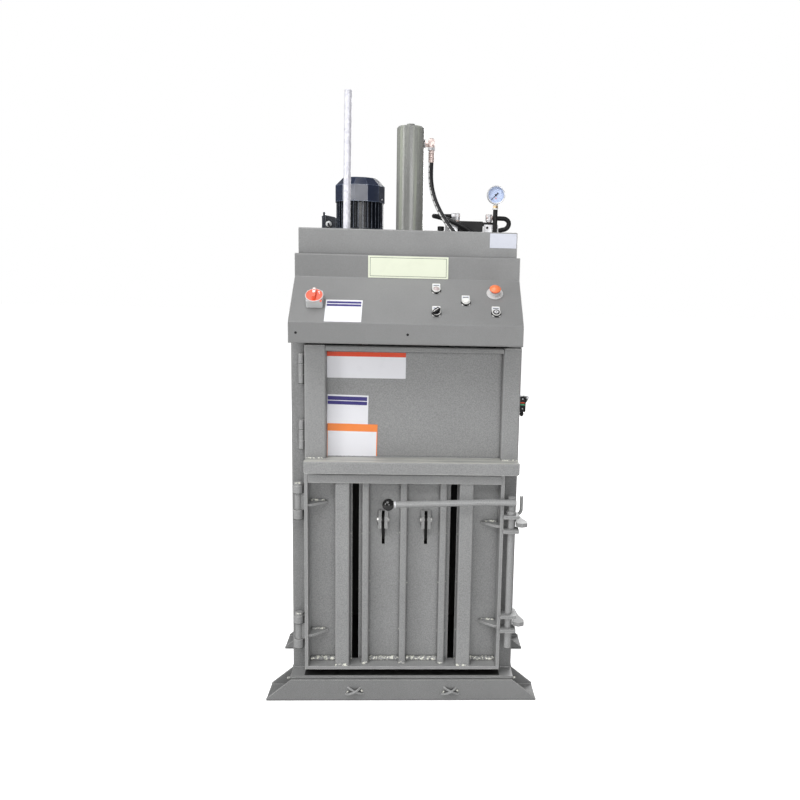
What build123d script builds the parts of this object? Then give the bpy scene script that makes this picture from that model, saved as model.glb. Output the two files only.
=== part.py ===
from build123d import *
import math
import os

# Upright baler for cardboard and film, in millimetres.
# X runs to the right, Y to the back and Z up. The origin is the centre of the footprint on the floor.

# Feet: two folded channels, open upward, with sloping ends
foot_length = 1050
foot_height = 90
foot_depth = 129
foot_sheet = 8
foot_tip = 12
foot_bevel = 97
foot_overhang = 87

# Body
body_width = 866
body_depth = 480
post_width = 53
post_depth = 60
post_wall = 5
post_corner = 8
wall_sheet = 8
base_sheet = 8
base_overhang = 72
floor_rise = 20
stiffener_depth = 38
stiffener_height = 80
stiffener_levels = (330, 720, 1120)

# Straps run in slots, grooves and guides at two places across the width
strap_inset = 1.5
slot_width = 25.5
groove_depth = 12
guide_width = 60
guide_depth = 20

# Lower door
door_side_gap = 4
door_floor_gap = 30
lower_door_height = 777
door_reach = 75
door_back = -4
stile_plate = 12
rail_sheet = 6
rail_height = 35
panel_sheet = 6
wide_rib_shift = 46
wide_rib_width = 54
wide_rib_reach = 67
narrow_rib_shift = 40.5
middle_rib_offset = -3
narrow_rib_width = 26
narrow_rib_reach = 50
rib_sheet = 4
gusset_share = 0.67
gusset_sheet = 8
left_gusset_levels = (781, 262)
right_gusset_levels = (704, 302)

# Upper door, with a lip along its lower edge
doors_gap = 6
lip_height = 45.5
lip_reach = 100
lip_inset = 4
upper_door_height = 425.5
upper_door_reach = 45
upper_door_clearance = 2
upper_door_overlap = 48
left_stile_width = 79
right_stile_width = 67
top_rail_height = 20
skin = 3

# Hinges of the two doors
hinge_offset = 24
hinge_reach = 35
hinge_pin_radius = 9
hinge_knuckle_radius = 19
hinge_eye_radius = 13.5
hinge_eye_length = 62
hinge_levels = (788, 270)
small_hinge_offset = 10.6
small_hinge_reach = 25
small_pin_radius = 5.5
small_knuckle_radius = 11
small_knuckle_length = 33
small_eye_length = 40
small_hinge_levels = (1291, 1042)

# Latch of the lower door
shaft_offset = 30.5
shaft_reach = 66
shaft_radius = 12.5
shaft_bottom = 216
shaft_top = 821
clevis_levels = (718, 320)
clevis_plate = 13
clevis_gap = 44
clevis_half = 25
clevis_end = 29
lever_radius = 12
lever_level = 804
lever_length = 466
knob_radius = 22.5
hook_levels = (712, 314)
hook_thickness = 17
hook_clearance = 8

# Bale retainer claws
claw_share = 0.554
claw_slot = 12.5
claw_blade = 10
claw_pivot_level = 718
claw_pivot_reach = 34
claw_slot_bottom = 612
claw_slot_top = 746
ear_plate = 11
claw_bolt_radius = 5

# Head and console
header_gap = 23
head_inset = 31
head_height = 403
head_sheet = 4
deck_sheet = 8
deck_recess = 12
console_inset = 23
console_drop = 4
console_apron = 73.5
console_fold = 83
console_ledge = 41
panel_run = 166
panel_rise = 156.5
console_sheet = 3

# Devices on the sloping panel: distance across, and distance down from the upper fold
lamp_spot = (103.5, 59)
selector_spot = (103.5, 174)
button_spot = (209, 117)
stop_inset = 95
stop_drop = 68
key_drop = 170
isolator_inset = 85
isolator_drop = 129

# Hydraulics
cylinder_back = 240
barrel_radius = 54
barrel_wall = 10
barrel_top = 2216
barrel_bottom = 1560
rod_radius = 30
beam_height = 128
beam_offset = 95
flange_sheet = 25
port_drop = 61
port_reach = 81
platen_clearance = 10
platen_pad = 32
platen_sheet = 12
platen_rib = 36
platen_lift = 10
rod_flange = 18

# Motor and pump, standing on the deck
motor_x = -201
motor_back = 300
cowl_radius = 97
cowl_top_radius = 67
fin_radius = 94.2
core_radius = 74
fin_count = 32
fin_sheet = 3
motor_shaft_radius = 14
tank_sheet = 3

# Gauge and conduit pipe
gauge_inset = 69
gauge_back = 170
gauge_level = 1960
gauge_radius = 34
stem_radius = 9
pipe_x = -229
pipe_back = 40
pipe_radius = 13.5
pipe_wall = 2
pipe_length = 508
pipe_lean = 0.6

# Clearances and bends
seam = 0.2
running = 0.05
slack = 1
bend = 6
device_gap = 0.4

# Places worked out from the sizes above
console_reach = console_ledge + panel_run
front = (console_reach - body_depth) / 2
rear = front + body_depth
head_half = body_width / 2 - head_inset
console_half = body_width / 2 - console_inset
base_top = foot_height + base_sheet
floor_top = base_top + floor_rise
opening_half = body_width / 2 - post_width
door_half = opening_half - door_side_gap
strap_offset = opening_half / 2 - strap_inset
wide_rib_offset = strap_offset + wide_rib_shift
narrow_rib_offset = strap_offset - narrow_rib_shift
claw_offset = claw_share * narrow_rib_offset
gusset_length = gusset_share * (door_half - stile_plate - wide_rib_offset - wide_rib_width / 2)
door_bottom = base_top + door_floor_gap
door_top = door_bottom + lower_door_height
lip_bottom = door_top + doors_gap
lip_top = lip_bottom + lip_height
upper_top = lip_top + upper_door_height
body_top = upper_top + header_gap
head_top = body_top + head_height
deck_top = head_top - deck_recess
deck_bottom = deck_top - deck_sheet
upper_left = -(door_half + 2)
upper_right = opening_half + upper_door_overlap
wall_back = body_depth - guide_depth
wall_front = wall_back - wall_sheet
port_level = barrel_top - port_drop
gauge_x = head_half - gauge_inset
spread = gauge_x / 333
stop_spot = (console_half - stop_inset, stop_drop)
key_spot = (console_half - stop_inset, key_drop)
isolator_spot = (isolator_inset - console_half, isolator_drop)


def back(distance):
    """Y of a place measured back from the posts' front face."""
    return front + distance


def block(xs, ys, zs, mode=Mode.ADD):
    """A plain plate or bar between pairs of coordinates."""
    with Locations(((xs[0] + xs[1]) / 2, (ys[0] + ys[1]) / 2, (zs[0] + zs[1]) / 2)):
        Box(abs(xs[1] - xs[0]), abs(ys[1] - ys[0]), zs[1] - zs[0], mode=mode)


def folded(plane, points, sheet, side, amount, both=False, radius=bend):
    """A folded sheet: its outer line with bends, given a thickness and drawn out."""
    with BuildSketch(plane) as section:
        with BuildLine():
            FilletPolyline(*points, radius=radius)
            offset(amount=sheet, side=side)
        make_face()
    extrude(section.sketch, amount=amount, both=both)


def post(x, y, z, radius, height, hole=0.0):
    """An upright cylinder on level z, with an optional bore."""
    with BuildSketch(Plane.XY.offset(z)) as disc:
        with Locations((x, y)):
            Circle(radius)
            if hole:
                Circle(hole, mode=Mode.SUBTRACT)
    extrude(disc.sketch, amount=height)


def bend_radii(points, limit, share=0.45):
    """Radii of a cord's corners: as large as the shorter run allows, up to a limit."""
    spots = [Vector(*p) for p in points]
    radii = []
    for before, here, after in zip(spots, spots[1:], spots[2:]):
        shorter = min((here - before).length, (after - here).length)
        turn = math.radians((here - before).get_angle(after - here))
        radii.append(min(limit, share * shorter / math.tan(turn / 2)))
    return radii


def dome_arc(radius, base, rise):
    """A round cap's profile, centred on the axis, from its rim up to its top."""
    ball = (radius**2 + rise**2) / (2 * rise)
    half_turn = math.asin(radius / ball) / 2
    middle = (ball * math.sin(half_turn), base + rise - ball + ball * math.cos(half_turn))
    return ThreePointArc((radius, base), middle, (0, base + rise))


def save(builder, name):
    """Label one sub-part and write it."""
    builder.part.label = name
    export_step(builder.part, f"parts/{name}.step")


# Feet
foot_starts = (back(-foot_overhang), rear - foot_depth)
with BuildPart() as feet:
    for start in foot_starts:
        end = start + foot_depth
        folded(
            Plane.YZ,
            [(start, foot_height), (start, 0), (end, 0), (end, foot_height)],
            foot_sheet,
            Side.LEFT,
            foot_length / 2,
            both=True,
            radius=foot_sheet + 4,
        )
    with BuildSketch(Plane.XZ):
        with BuildLine():
            Polyline(
                (-foot_length / 2, 0),
                (foot_length / 2, 0),
                (foot_length / 2, foot_tip),
                (foot_length / 2 - foot_bevel, foot_height),
                (foot_bevel - foot_length / 2, foot_height),
                (-foot_length / 2, foot_tip),
                close=True,
            )
        make_face()
    extrude(amount=body_depth * 2, both=True, mode=Mode.INTERSECT)
save(feet, "feet")

# Crossed bars on the front foot, where the straps are tied
cleat_rod = 4.5
cleat_bars = ((-34, -14, 20, 10, 15), (-26, 14, 31, -14, 9))
foot_face = back(-foot_overhang)
with BuildPart() as strap_cleats:
    for x in (-strap_offset + 5, strap_offset):
        for left, left_rise, right, right_rise, bow in cleat_bars:
            start = (x + left, foot_face + 2, foot_height / 2 + left_rise)
            middle_level = foot_height / 2 + (left_rise + right_rise) / 2
            middle = (x + (left + right) / 2, foot_face - bow, middle_level)
            end = (x + right, foot_face + 2, foot_height / 2 + right_rise)
            with BuildLine() as bar:
                ThreePointArc(start, middle, end)
            with BuildSketch(Plane(origin=bar.line @ 0, z_dir=bar.line % 0)):
                Circle(cleat_rod)
            sweep(path=bar.line)
    split(bisect_by=Plane.XZ.offset(-foot_face), keep=Keep.TOP)
save(strap_cleats, "strap_cleats")

# Base plate with the raised chamber floor and its two strap grooves
with BuildPart() as base_plate:
    block((-body_width / 2, body_width / 2), (back(-base_overhang), rear), (foot_height, base_top))
    block((-opening_half, opening_half), (back(door_back + 7), back(wall_back)), (base_top, floor_top))
    for x in (-strap_offset, strap_offset):
        block(
            (x - slot_width / 2, x + slot_width / 2),
            (back(door_back), back(wall_front)),
            (floor_top - groove_depth, floor_top),
            mode=Mode.SUBTRACT,
        )
save(base_plate, "base_plate")

# Corner posts
post_x = body_width / 2 - post_width / 2
with BuildPart() as corner_posts:
    with BuildSketch(Plane.XY.offset(base_top)):
        with Locations(
            (-post_x, back(post_depth / 2)),
            (post_x, back(post_depth / 2)),
            (-post_x, rear - post_depth / 2),
            (post_x, rear - post_depth / 2),
        ):
            RectangleRounded(post_width, post_depth, post_corner)
            RectangleRounded(
                post_width - 2 * post_wall,
                post_depth - 2 * post_wall,
                post_corner - post_wall,
                mode=Mode.SUBTRACT,
            )
    extrude(amount=body_top - base_top)
save(corner_posts, "corner_posts")

# Side walls, the channels that stiffen them, and the guides behind the strap gaps
with BuildPart() as side_walls:
    for sign in (-1, 1):
        block(
            (sign * opening_half, sign * (opening_half + wall_sheet)),
            (back(post_depth), rear - post_depth),
            (base_top, body_top),
        )
save(side_walls, "side_walls")

with BuildPart() as wall_channels:
    for sign in (-1, 1):
        inner = sign * (opening_half + wall_sheet)
        outer = sign * (opening_half + wall_sheet + stiffener_depth)
        for level in stiffener_levels:
            folded(
                Plane.XZ.offset(-back(post_depth)),
                [
                    (inner, level),
                    (outer, level),
                    (outer, level + stiffener_height),
                    (inner, level + stiffener_height),
                ],
                rib_sheet,
                Side.LEFT if sign > 0 else Side.RIGHT,
                -(body_depth - 2 * post_depth),
            )
    for x in (-strap_offset, strap_offset):
        folded(
            Plane.XY.offset(base_top),
            [
                (x + guide_width / 2, back(wall_back)),
                (x + guide_width / 2, rear),
                (x - guide_width / 2, rear),
                (x - guide_width / 2, back(wall_back)),
            ],
            rib_sheet,
            Side.LEFT,
            body_top - base_top,
        )
save(wall_channels, "wall_channels")

# Rear wall in three strips, with a gap in front of each strap guide
strip_edges = (
    (-opening_half, -strap_offset - slot_width / 2),
    (-strap_offset + slot_width / 2, strap_offset - slot_width / 2),
    (strap_offset + slot_width / 2, opening_half),
)
with BuildPart() as rear_wall:
    for edges in strip_edges:
        block(edges, (back(wall_front), back(wall_back)), (floor_top, body_top))
save(rear_wall, "rear_wall")


# Head: front sheet with a folded top edge, two sides and a rear sheet
with BuildPart() as head_panels:
    folded(
        Plane.YZ,
        [(back(18), head_top), (front, head_top), (front, body_top)],
        head_sheet,
        Side.LEFT,
        head_half,
        both=True,
    )
    for sign in (-1, 1):
        block(
            (sign * (head_half - head_sheet), sign * head_half),
            (back(head_sheet + seam), rear - head_sheet - seam),
            (body_top, deck_top + head_sheet - seam),
        )
    block((-head_half, head_half), (rear - head_sheet, rear), (body_top, deck_top + head_sheet))
save(head_panels, "head_panels")

# Deck plate, with the holes for the cylinder and the motor coupling
cylinder_y = back(cylinder_back)
motor_y = back(motor_back)
coupling_radius = 32
with BuildPart() as deck_plate:
    with BuildSketch(Plane.XY.offset(deck_bottom)):
        with Locations((0, (front + rear) / 2)):
            Rectangle(2 * (head_half - head_sheet), body_depth - 2 * head_sheet)
        with Locations((0, cylinder_y)):
            Circle(barrel_radius + slack, mode=Mode.SUBTRACT)
        with Locations((motor_x, motor_y)):
            Circle(coupling_radius, mode=Mode.SUBTRACT)
    extrude(amount=deck_sheet)
save(deck_plate, "deck_plate")

# Two channels under the deck, with the flange that carries the cylinder
beam_flange = 50
beam_sheet = 8
flange_top = deck_bottom - beam_height
flange_half = beam_offset + beam_flange / 2
with BuildPart() as cylinder_mount:
    for sign in (-1, 1):
        web = sign * (beam_offset - beam_flange / 2)
        tip = sign * (beam_offset + beam_flange / 2)
        folded(
            Plane.XZ.offset(-back(head_sheet)),
            [
                (tip, deck_bottom - beam_height),
                (web, deck_bottom - beam_height),
                (web, deck_bottom),
                (tip, deck_bottom),
            ],
            beam_sheet,
            Side.RIGHT if sign > 0 else Side.LEFT,
            -(body_depth - 2 * head_sheet),
            radius=beam_sheet + 2,
        )
    with BuildSketch(Plane.XY.offset(flange_top - flange_sheet)):
        with Locations((0, cylinder_y)):
            RectangleRounded(2 * flange_half, 2 * flange_half, 20)
            Circle(barrel_radius, mode=Mode.SUBTRACT)
    extrude(amount=flange_sheet)
save(cylinder_mount, "cylinder_mount")

# Barrel: a turned tube with a domed cap, a filling boss and a side port
barrel_bore = barrel_radius - barrel_wall
cap_height = 30
gland_height = 28
boss_radius = 16
boss_height = 11
port_radius = 9
with BuildPart() as cylinder_barrel:
    with BuildSketch(Plane.XZ) as wall_section:
        with BuildLine():
            Polyline(
                (rod_radius + running, barrel_bottom),
                (barrel_radius, barrel_bottom),
                (barrel_radius, barrel_top - 6),
                (barrel_radius - 6, barrel_top),
                (boss_radius, barrel_top),
                (boss_radius, barrel_top + boss_height),
                (0, barrel_top + boss_height),
                (0, barrel_top - cap_height),
                (barrel_bore, barrel_top - cap_height),
                (barrel_bore, barrel_bottom + gland_height),
                (rod_radius + running, barrel_bottom + gland_height),
                close=True,
            )
        make_face()
    revolve(axis=Axis.Z)
    with BuildSketch(Plane.YZ):
        with Locations((0, port_level)):
            Circle(port_radius)
    extrude(amount=barrel_radius + 2, mode=Mode.SUBTRACT)
cylinder_barrel.part.position = (0, cylinder_y, 0)
save(cylinder_barrel, "cylinder_barrel")

# Ram: rod with piston and end flange, and the platen that it drives
platen_bottom = upper_top + platen_lift
pad_top = platen_bottom + platen_pad
plate_top = pad_top + platen_sheet
rib_top = plate_top + platen_rib
piston_top = barrel_top - cap_height - 7
piston_height = 28
with BuildPart() as piston_rod:
    with BuildSketch(Plane.XZ):
        with BuildLine():
            Polyline(
                (0, rib_top),
                (62, rib_top),
                (62, rib_top + rod_flange),
                (rod_radius, rib_top + rod_flange),
                (rod_radius, piston_top - piston_height),
                (barrel_bore - running, piston_top - piston_height),
                (barrel_bore - running, piston_top),
                (0, piston_top),
                close=True,
            )
        make_face()
    revolve(axis=Axis.Z)
piston_rod.part.position = (0, cylinder_y, 0)
save(piston_rod, "piston_rod")

platen_half = opening_half - platen_clearance
platen_front = back(door_back + platen_clearance + 3)
platen_rear = back(wall_front - platen_clearance)
with BuildPart() as platen:
    with BuildSketch(Plane.XZ.offset(-platen_front)):
        with BuildLine():
            Polyline(
                (-platen_half, platen_bottom),
                (-strap_offset - slot_width / 2, platen_bottom),
                (-strap_offset - slot_width / 2, pad_top),
                (-strap_offset + slot_width / 2, pad_top),
                (-strap_offset + slot_width / 2, platen_bottom),
                (strap_offset - slot_width / 2, platen_bottom),
                (strap_offset - slot_width / 2, pad_top),
                (strap_offset + slot_width / 2, pad_top),
                (strap_offset + slot_width / 2, platen_bottom),
                (platen_half, platen_bottom),
                (platen_half, plate_top),
                (-platen_half, plate_top),
                close=True,
            )
        make_face()
    extrude(amount=-(platen_rear - platen_front))
    for offset_y in (-70, 70):
        block(
            (-platen_half + 60, platen_half - 60),
            (cylinder_y + offset_y - 6, cylinder_y + offset_y + 6),
            (plate_top, rib_top),
        )
    for offset_x in (-70, 70):
        block(
            (offset_x - 6, offset_x + 6),
            (cylinder_y - 64, cylinder_y + 64),
            (plate_top, rib_top),
        )
    block((-40, 40), (cylinder_y - 40, cylinder_y + 40), (plate_top, rib_top))
save(platen, "platen")

# Lower door: two stiles, a folded top rail and a bottom plate, welded at their ends
panel_front = door_back - panel_sheet
rail_bottom = door_top - rail_sheet
sill_top = door_bottom + stile_plate
with BuildPart() as lower_door_frame:
    for sign in (-1, 1):
        block(
            (sign * (door_half - stile_plate), sign * door_half),
            (back(-door_reach), back(door_back)),
            (door_bottom, door_top),
        )
    rail_half = door_half - stile_plate - seam
    folded(
        Plane.YZ,
        [
            (back(panel_front), door_top),
            (back(-door_reach), door_top),
            (back(-door_reach), door_top - rail_height),
        ],
        rail_sheet,
        Side.LEFT,
        rail_half,
        both=True,
        radius=rail_sheet + 2,
    )
    block((-rail_half, rail_half), (back(-door_reach), back(door_back)), (door_bottom, sill_top))
save(lower_door_frame, "lower_door_frame")

with BuildPart() as lower_door_panels:
    panel_edges = (
        (-door_half + stile_plate, -strap_offset - slot_width / 2),
        (-strap_offset + slot_width / 2, strap_offset - slot_width / 2),
        (strap_offset + slot_width / 2, door_half - stile_plate),
    )
    for edges in panel_edges:
        block(edges, (back(panel_front), back(door_back)), (sill_top, rail_bottom))
    for sign in (-1, 1):
        block(
            (sign * claw_offset - claw_slot / 2, sign * claw_offset + claw_slot / 2),
            (back(panel_front - 2), back(door_back + 2)),
            (claw_slot_bottom, claw_slot_top),
            mode=Mode.SUBTRACT,
        )
save(lower_door_panels, "lower_door_panels")

# Upright ribs of the lower door: folded channels with their open side on the panel
rib_rows = (
    (-wide_rib_offset, wide_rib_width, wide_rib_reach),
    (wide_rib_offset, wide_rib_width, wide_rib_reach),
    (-narrow_rib_offset, narrow_rib_width, narrow_rib_reach),
    (narrow_rib_offset, narrow_rib_width, narrow_rib_reach),
    (middle_rib_offset, narrow_rib_width, narrow_rib_reach),
)
with BuildPart() as door_ribs:
    for x, width, reach in rib_rows:
        folded(
            Plane.XY.offset(sill_top),
            [
                (x - width / 2, back(panel_front)),
                (x - width / 2, back(-reach)),
                (x + width / 2, back(-reach)),
                (x + width / 2, back(panel_front)),
            ],
            rib_sheet,
            Side.LEFT,
            rail_bottom - sill_top,
        )
save(door_ribs, "door_ribs")

# Hinge knuckles: on the post for both doors, and an eye between each pair on the door
hinge_x = -(opening_half + hinge_offset)
hinge_y = back(-hinge_reach)
small_x = -(opening_half + small_hinge_offset)
small_y = back(-small_hinge_reach)
upper_knuckle = 30
lower_knuckle = 37
with BuildPart() as post_knuckles:
    for level in hinge_levels:
        eye_top = level + hinge_eye_length / 2 + slack
        eye_bottom = level - hinge_eye_length / 2 - slack
        for start, height in ((eye_top, upper_knuckle), (eye_bottom - lower_knuckle, lower_knuckle)):
            post(hinge_x, hinge_y, start, hinge_knuckle_radius, height)
            block((hinge_x - 14, hinge_x + 14), (hinge_y, front), (start, start + height))
    for level in small_hinge_levels:
        eye_top = level + small_eye_length / 2 + slack
        eye_bottom = level - small_eye_length / 2 - slack
        for start in (eye_top, eye_bottom - small_knuckle_length):
            post(small_x, small_y, start, small_knuckle_radius, small_knuckle_length)
            block((small_x - 8, small_x + 7), (small_y, front), (start, start + small_knuckle_length))
    for level in hinge_levels:
        with Locations((hinge_x, hinge_y, level)):
            Cylinder(hinge_pin_radius + running, 4 * hinge_eye_length, mode=Mode.SUBTRACT)
    for level in small_hinge_levels:
        with Locations((small_x, small_y, level)):
            Cylinder(small_pin_radius + running, 4 * small_eye_length, mode=Mode.SUBTRACT)
save(post_knuckles, "post_knuckles")

with BuildPart() as lower_door_knuckles:
    for level in hinge_levels:
        start = level - hinge_eye_length / 2
        post(hinge_x, hinge_y, start, hinge_eye_radius, hinge_eye_length)
        block((hinge_x, -door_half), (hinge_y - 6, hinge_y + 6), (start, start + hinge_eye_length))
    for level in hinge_levels:
        with Locations((hinge_x, hinge_y, level)):
            Cylinder(hinge_pin_radius + running, 2 * hinge_eye_length, mode=Mode.SUBTRACT)
save(lower_door_knuckles, "lower_door_knuckles")

with BuildPart() as upper_door_knuckles:
    for level in small_hinge_levels:
        start = level - small_eye_length / 2
        post(small_x, small_y, start, small_knuckle_radius, small_eye_length)
        block((small_x, upper_left), (small_y - 3, small_y + 3), (start, start + small_eye_length))
    for level in small_hinge_levels:
        with Locations((small_x, small_y, level)):
            Cylinder(small_pin_radius + running, 2 * small_eye_length, mode=Mode.SUBTRACT)
save(upper_door_knuckles, "upper_door_knuckles")

# Pins with a wide, rounded head on the top knuckle
pin_cap = 14
with BuildPart() as hinge_pins:
    for level in hinge_levels:
        top = level + hinge_eye_length / 2 + slack + upper_knuckle
        bottom = level - hinge_eye_length / 2 - slack - lower_knuckle - 3
        post(hinge_x, hinge_y, bottom, hinge_pin_radius, top - bottom)
        post(hinge_x, hinge_y, top, hinge_knuckle_radius - 3, pin_cap)
        cap_edges = hinge_pins.edges().filter_by_position(Axis.Z, top + pin_cap - 0.1, top + pin_cap + 0.1)
        fillet(cap_edges, radius=6)
    for level in small_hinge_levels:
        top = level + small_eye_length / 2 + slack + small_knuckle_length
        bottom = level - small_eye_length / 2 - slack - small_knuckle_length - 2
        post(small_x, small_y, bottom, small_pin_radius, top - bottom)
        post(small_x, small_y, top, small_knuckle_radius - 2, 4)
save(hinge_pins, "hinge_pins")

# Clevis plates on the right stile, and the bent rod that stops the lever
shaft_x = door_half + shaft_offset
shaft_y = back(-shaft_reach)
catch_radius = 6.5
catch_x = shaft_x + 40
catch_y = shaft_y + 22
catch_top = shaft_top - 2
with BuildPart() as clevis_plates:
    for level in clevis_levels:
        for start in (level + clevis_gap / 2, level - clevis_gap / 2 - clevis_plate):
            with BuildSketch(Plane.XY.offset(start)) as ear:
                with Locations(((door_half + shaft_x + clevis_end) / 2, shaft_y)):
                    Rectangle(shaft_offset + clevis_end, 2 * clevis_half)
                fillet(ear.vertices().group_by(Axis.X)[-1], radius=6)
                with Locations((shaft_x, shaft_y)):
                    Circle(shaft_radius + running, mode=Mode.SUBTRACT)
            extrude(amount=clevis_plate)
    catch_level = clevis_levels[0] + clevis_gap / 2 + clevis_plate / 2
    with BuildLine() as catch_line:
        FilletPolyline(
            (shaft_x + 12, shaft_y + 17, catch_level),
            (catch_x, catch_y, catch_level),
            (catch_x, catch_y, catch_top),
            radius=20,
        )
    with BuildSketch(Plane(origin=catch_line.line @ 0, z_dir=catch_line.line % 0)):
        Circle(catch_radius)
    sweep(path=catch_line.line)
    with Locations((shaft_x, shaft_y, clevis_levels[0])):
        Cylinder(shaft_radius + running, 3 * clevis_gap, mode=Mode.SUBTRACT)
save(clevis_plates, "clevis_plates")

# Latch shaft with the collar that rests on the upper clevis
collar_base = clevis_levels[0] + clevis_gap / 2 + clevis_plate + 0.3
with BuildPart() as latch_shaft:
    with BuildSketch(Plane.XZ):
        with BuildLine():
            Polyline(
                (0, shaft_bottom),
                (shaft_radius - 2, shaft_bottom),
                (shaft_radius, shaft_bottom + 2),
                (shaft_radius, collar_base),
                (shaft_radius + 6, collar_base),
                (shaft_radius + 6, collar_base + 12),
                (shaft_radius, collar_base + 12),
                (shaft_radius, shaft_top - 5),
                (shaft_radius + 1.5, shaft_top - 5),
                (shaft_radius + 1.5, shaft_top),
                (0, shaft_top),
                close=True,
            )
        make_face()
    revolve(axis=Axis.Z)
latch_shaft.part.position = (shaft_x, shaft_y, 0)
save(latch_shaft, "latch_shaft")

# Lever: a tube across the front of the shaft, bent slightly forward towards its knob
lever_y = shaft_y - shaft_radius - lever_radius - seam
lever_stub = 14
lever_bow = 38
lever_start = (shaft_x + lever_stub, lever_y, lever_level)
lever_bend = (shaft_x - 90, lever_y - 1, lever_level + 2)
lever_end = (shaft_x - lever_length + knob_radius - 4, lever_y - lever_bow, lever_level)
with BuildPart() as latch_lever:
    with BuildLine() as lever_line:
        FilletPolyline(lever_start, lever_bend, lever_end, radius=600)
    with BuildSketch(Plane(origin=lever_line.line @ 0, z_dir=lever_line.line % 0)):
        Circle(lever_radius)
    sweep(path=lever_line.line)
    block(
        (shaft_x - 10, shaft_x + 10),
        (lever_y, shaft_y - 6),
        (lever_level - lever_radius, lever_level + lever_radius - 2),
    )
    with Locations((shaft_x, shaft_y, lever_level)):
        Cylinder(shaft_radius, 60, mode=Mode.SUBTRACT)
save(latch_lever, "latch_lever")

knob_centre = (shaft_x - lever_length, lever_y - lever_bow - 1, lever_level)
with BuildPart() as lever_knob:
    with Locations(knob_centre):
        Sphere(knob_radius, rotation=(0, 0, 120))
    add(latch_lever.part, mode=Mode.SUBTRACT)
save(lever_knob, "lever_knob")

# Hook plates on the outer side of the right post, one in each clevis gap
hook_nose = shaft_x + shaft_radius + hook_clearance
post_outer = body_width / 2
with BuildPart() as hook_plates:
    for level in hook_levels:
        with BuildSketch(Plane.XY.offset(level - hook_thickness / 2)) as hook:
            with BuildLine():
                Polyline(
                    (post_outer, back(56)),
                    (post_outer, back(-8)),
                    (hook_nose, back(-46)),
                    (hook_nose, back(-72)),
                    (post_outer + 14, back(-80)),
                    (post_outer + 36, back(-72)),
                    (post_outer + 38, back(-52)),
                    (post_outer + 22, back(-8)),
                    (post_outer + 15, back(56)),
                    close=True,
                )
            make_face()
            outer_corners = hook.vertices().group_by(Axis.X)[-1] + hook.vertices().group_by(Axis.X)[-2]
            fillet(outer_corners, radius=6)
        extrude(amount=hook_thickness)
save(hook_plates, "hook_plates")

# Flat plates welded to the lower door: corner gussets, and the ears of the claws
pivot_y = back(-claw_pivot_reach)
ear_front = back(-52)
ear_bottom = claw_pivot_level - 30
ear_top = claw_pivot_level + 32
gusset_rows = ((-1, left_gusset_levels), (1, right_gusset_levels))
with BuildPart() as door_brackets:
    for sign, levels in gusset_rows:
        inner = sign * (door_half - stile_plate)
        for level in levels:
            with BuildSketch(Plane.XY.offset(level - gusset_sheet / 2)):
                with BuildLine():
                    Polyline(
                        (inner, back(panel_front)),
                        (inner, back(8 - door_reach)),
                        (inner - sign * 12, back(8 - door_reach)),
                        (inner - sign * gusset_length, back(panel_front - 10)),
                        (inner - sign * gusset_length, back(panel_front)),
                        close=True,
                    )
                make_face()
            extrude(amount=gusset_sheet)
    for sign in (-1, 1):
        for side in (-1, 1):
            ear_x = sign * claw_offset + side * (claw_slot / 2)
            with BuildSketch(Plane.YZ.offset(ear_x)):
                with BuildLine():
                    Polyline(
                        (back(panel_front), ear_bottom),
                        (back(panel_front), ear_top),
                        (back(panel_front - 12), ear_top),
                        (ear_front, claw_pivot_level + 14),
                        (ear_front, ear_bottom),
                        close=True,
                    )
                make_face()
                with Locations((pivot_y, claw_pivot_level)):
                    Circle(claw_bolt_radius + running, mode=Mode.SUBTRACT)
            extrude(amount=side * ear_plate)
save(door_brackets, "door_brackets")

# Pivot bolts of the claws
bolt_half = claw_slot / 2 + ear_plate
with BuildPart() as claw_bolts:
    for sign in (-1, 1):
        with BuildSketch(Plane.YZ.offset(sign * claw_offset)) as shank:
            with Locations((pivot_y, claw_pivot_level)):
                Circle(claw_bolt_radius)
        extrude(amount=bolt_half + 6, both=True)
        for side in (-1, 1):
            with BuildSketch(Plane.YZ.offset(sign * claw_offset + side * bolt_half)) as head:
                with Locations((pivot_y, claw_pivot_level)):
                    RegularPolygon(8.5, 6)
            extrude(amount=side * 5)
save(claw_bolts, "claw_bolts")

# Claws: flat hooks that reach through the panel and swing down out of the chamber
claw_nodes = (("left_claw", -claw_offset), ("right_claw", claw_offset))
for claw_name, claw_x in claw_nodes:
    with BuildPart() as claw:
        with BuildSketch(Plane.YZ.offset(claw_x)) as blade:
            with BuildLine():
                Polyline(
                    (back(-47), claw_pivot_level - 6),
                    (back(-45), claw_pivot_level + 10),
                    (back(-25), claw_pivot_level + 18),
                    (back(1), claw_pivot_level + 4),
                    (back(37), claw_pivot_level - 74),
                    (back(33), claw_pivot_level - 82),
                    (back(5), claw_pivot_level - 98),
                    (back(-11), claw_pivot_level - 76),
                    close=True,
                )
            make_face()
            fillet(blade.vertices(), radius=3)
            with Locations((pivot_y, claw_pivot_level)):
                Circle(claw_bolt_radius + running, mode=Mode.SUBTRACT)
        extrude(amount=claw_blade / 2, both=True)
    save(claw, claw_name)

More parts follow.
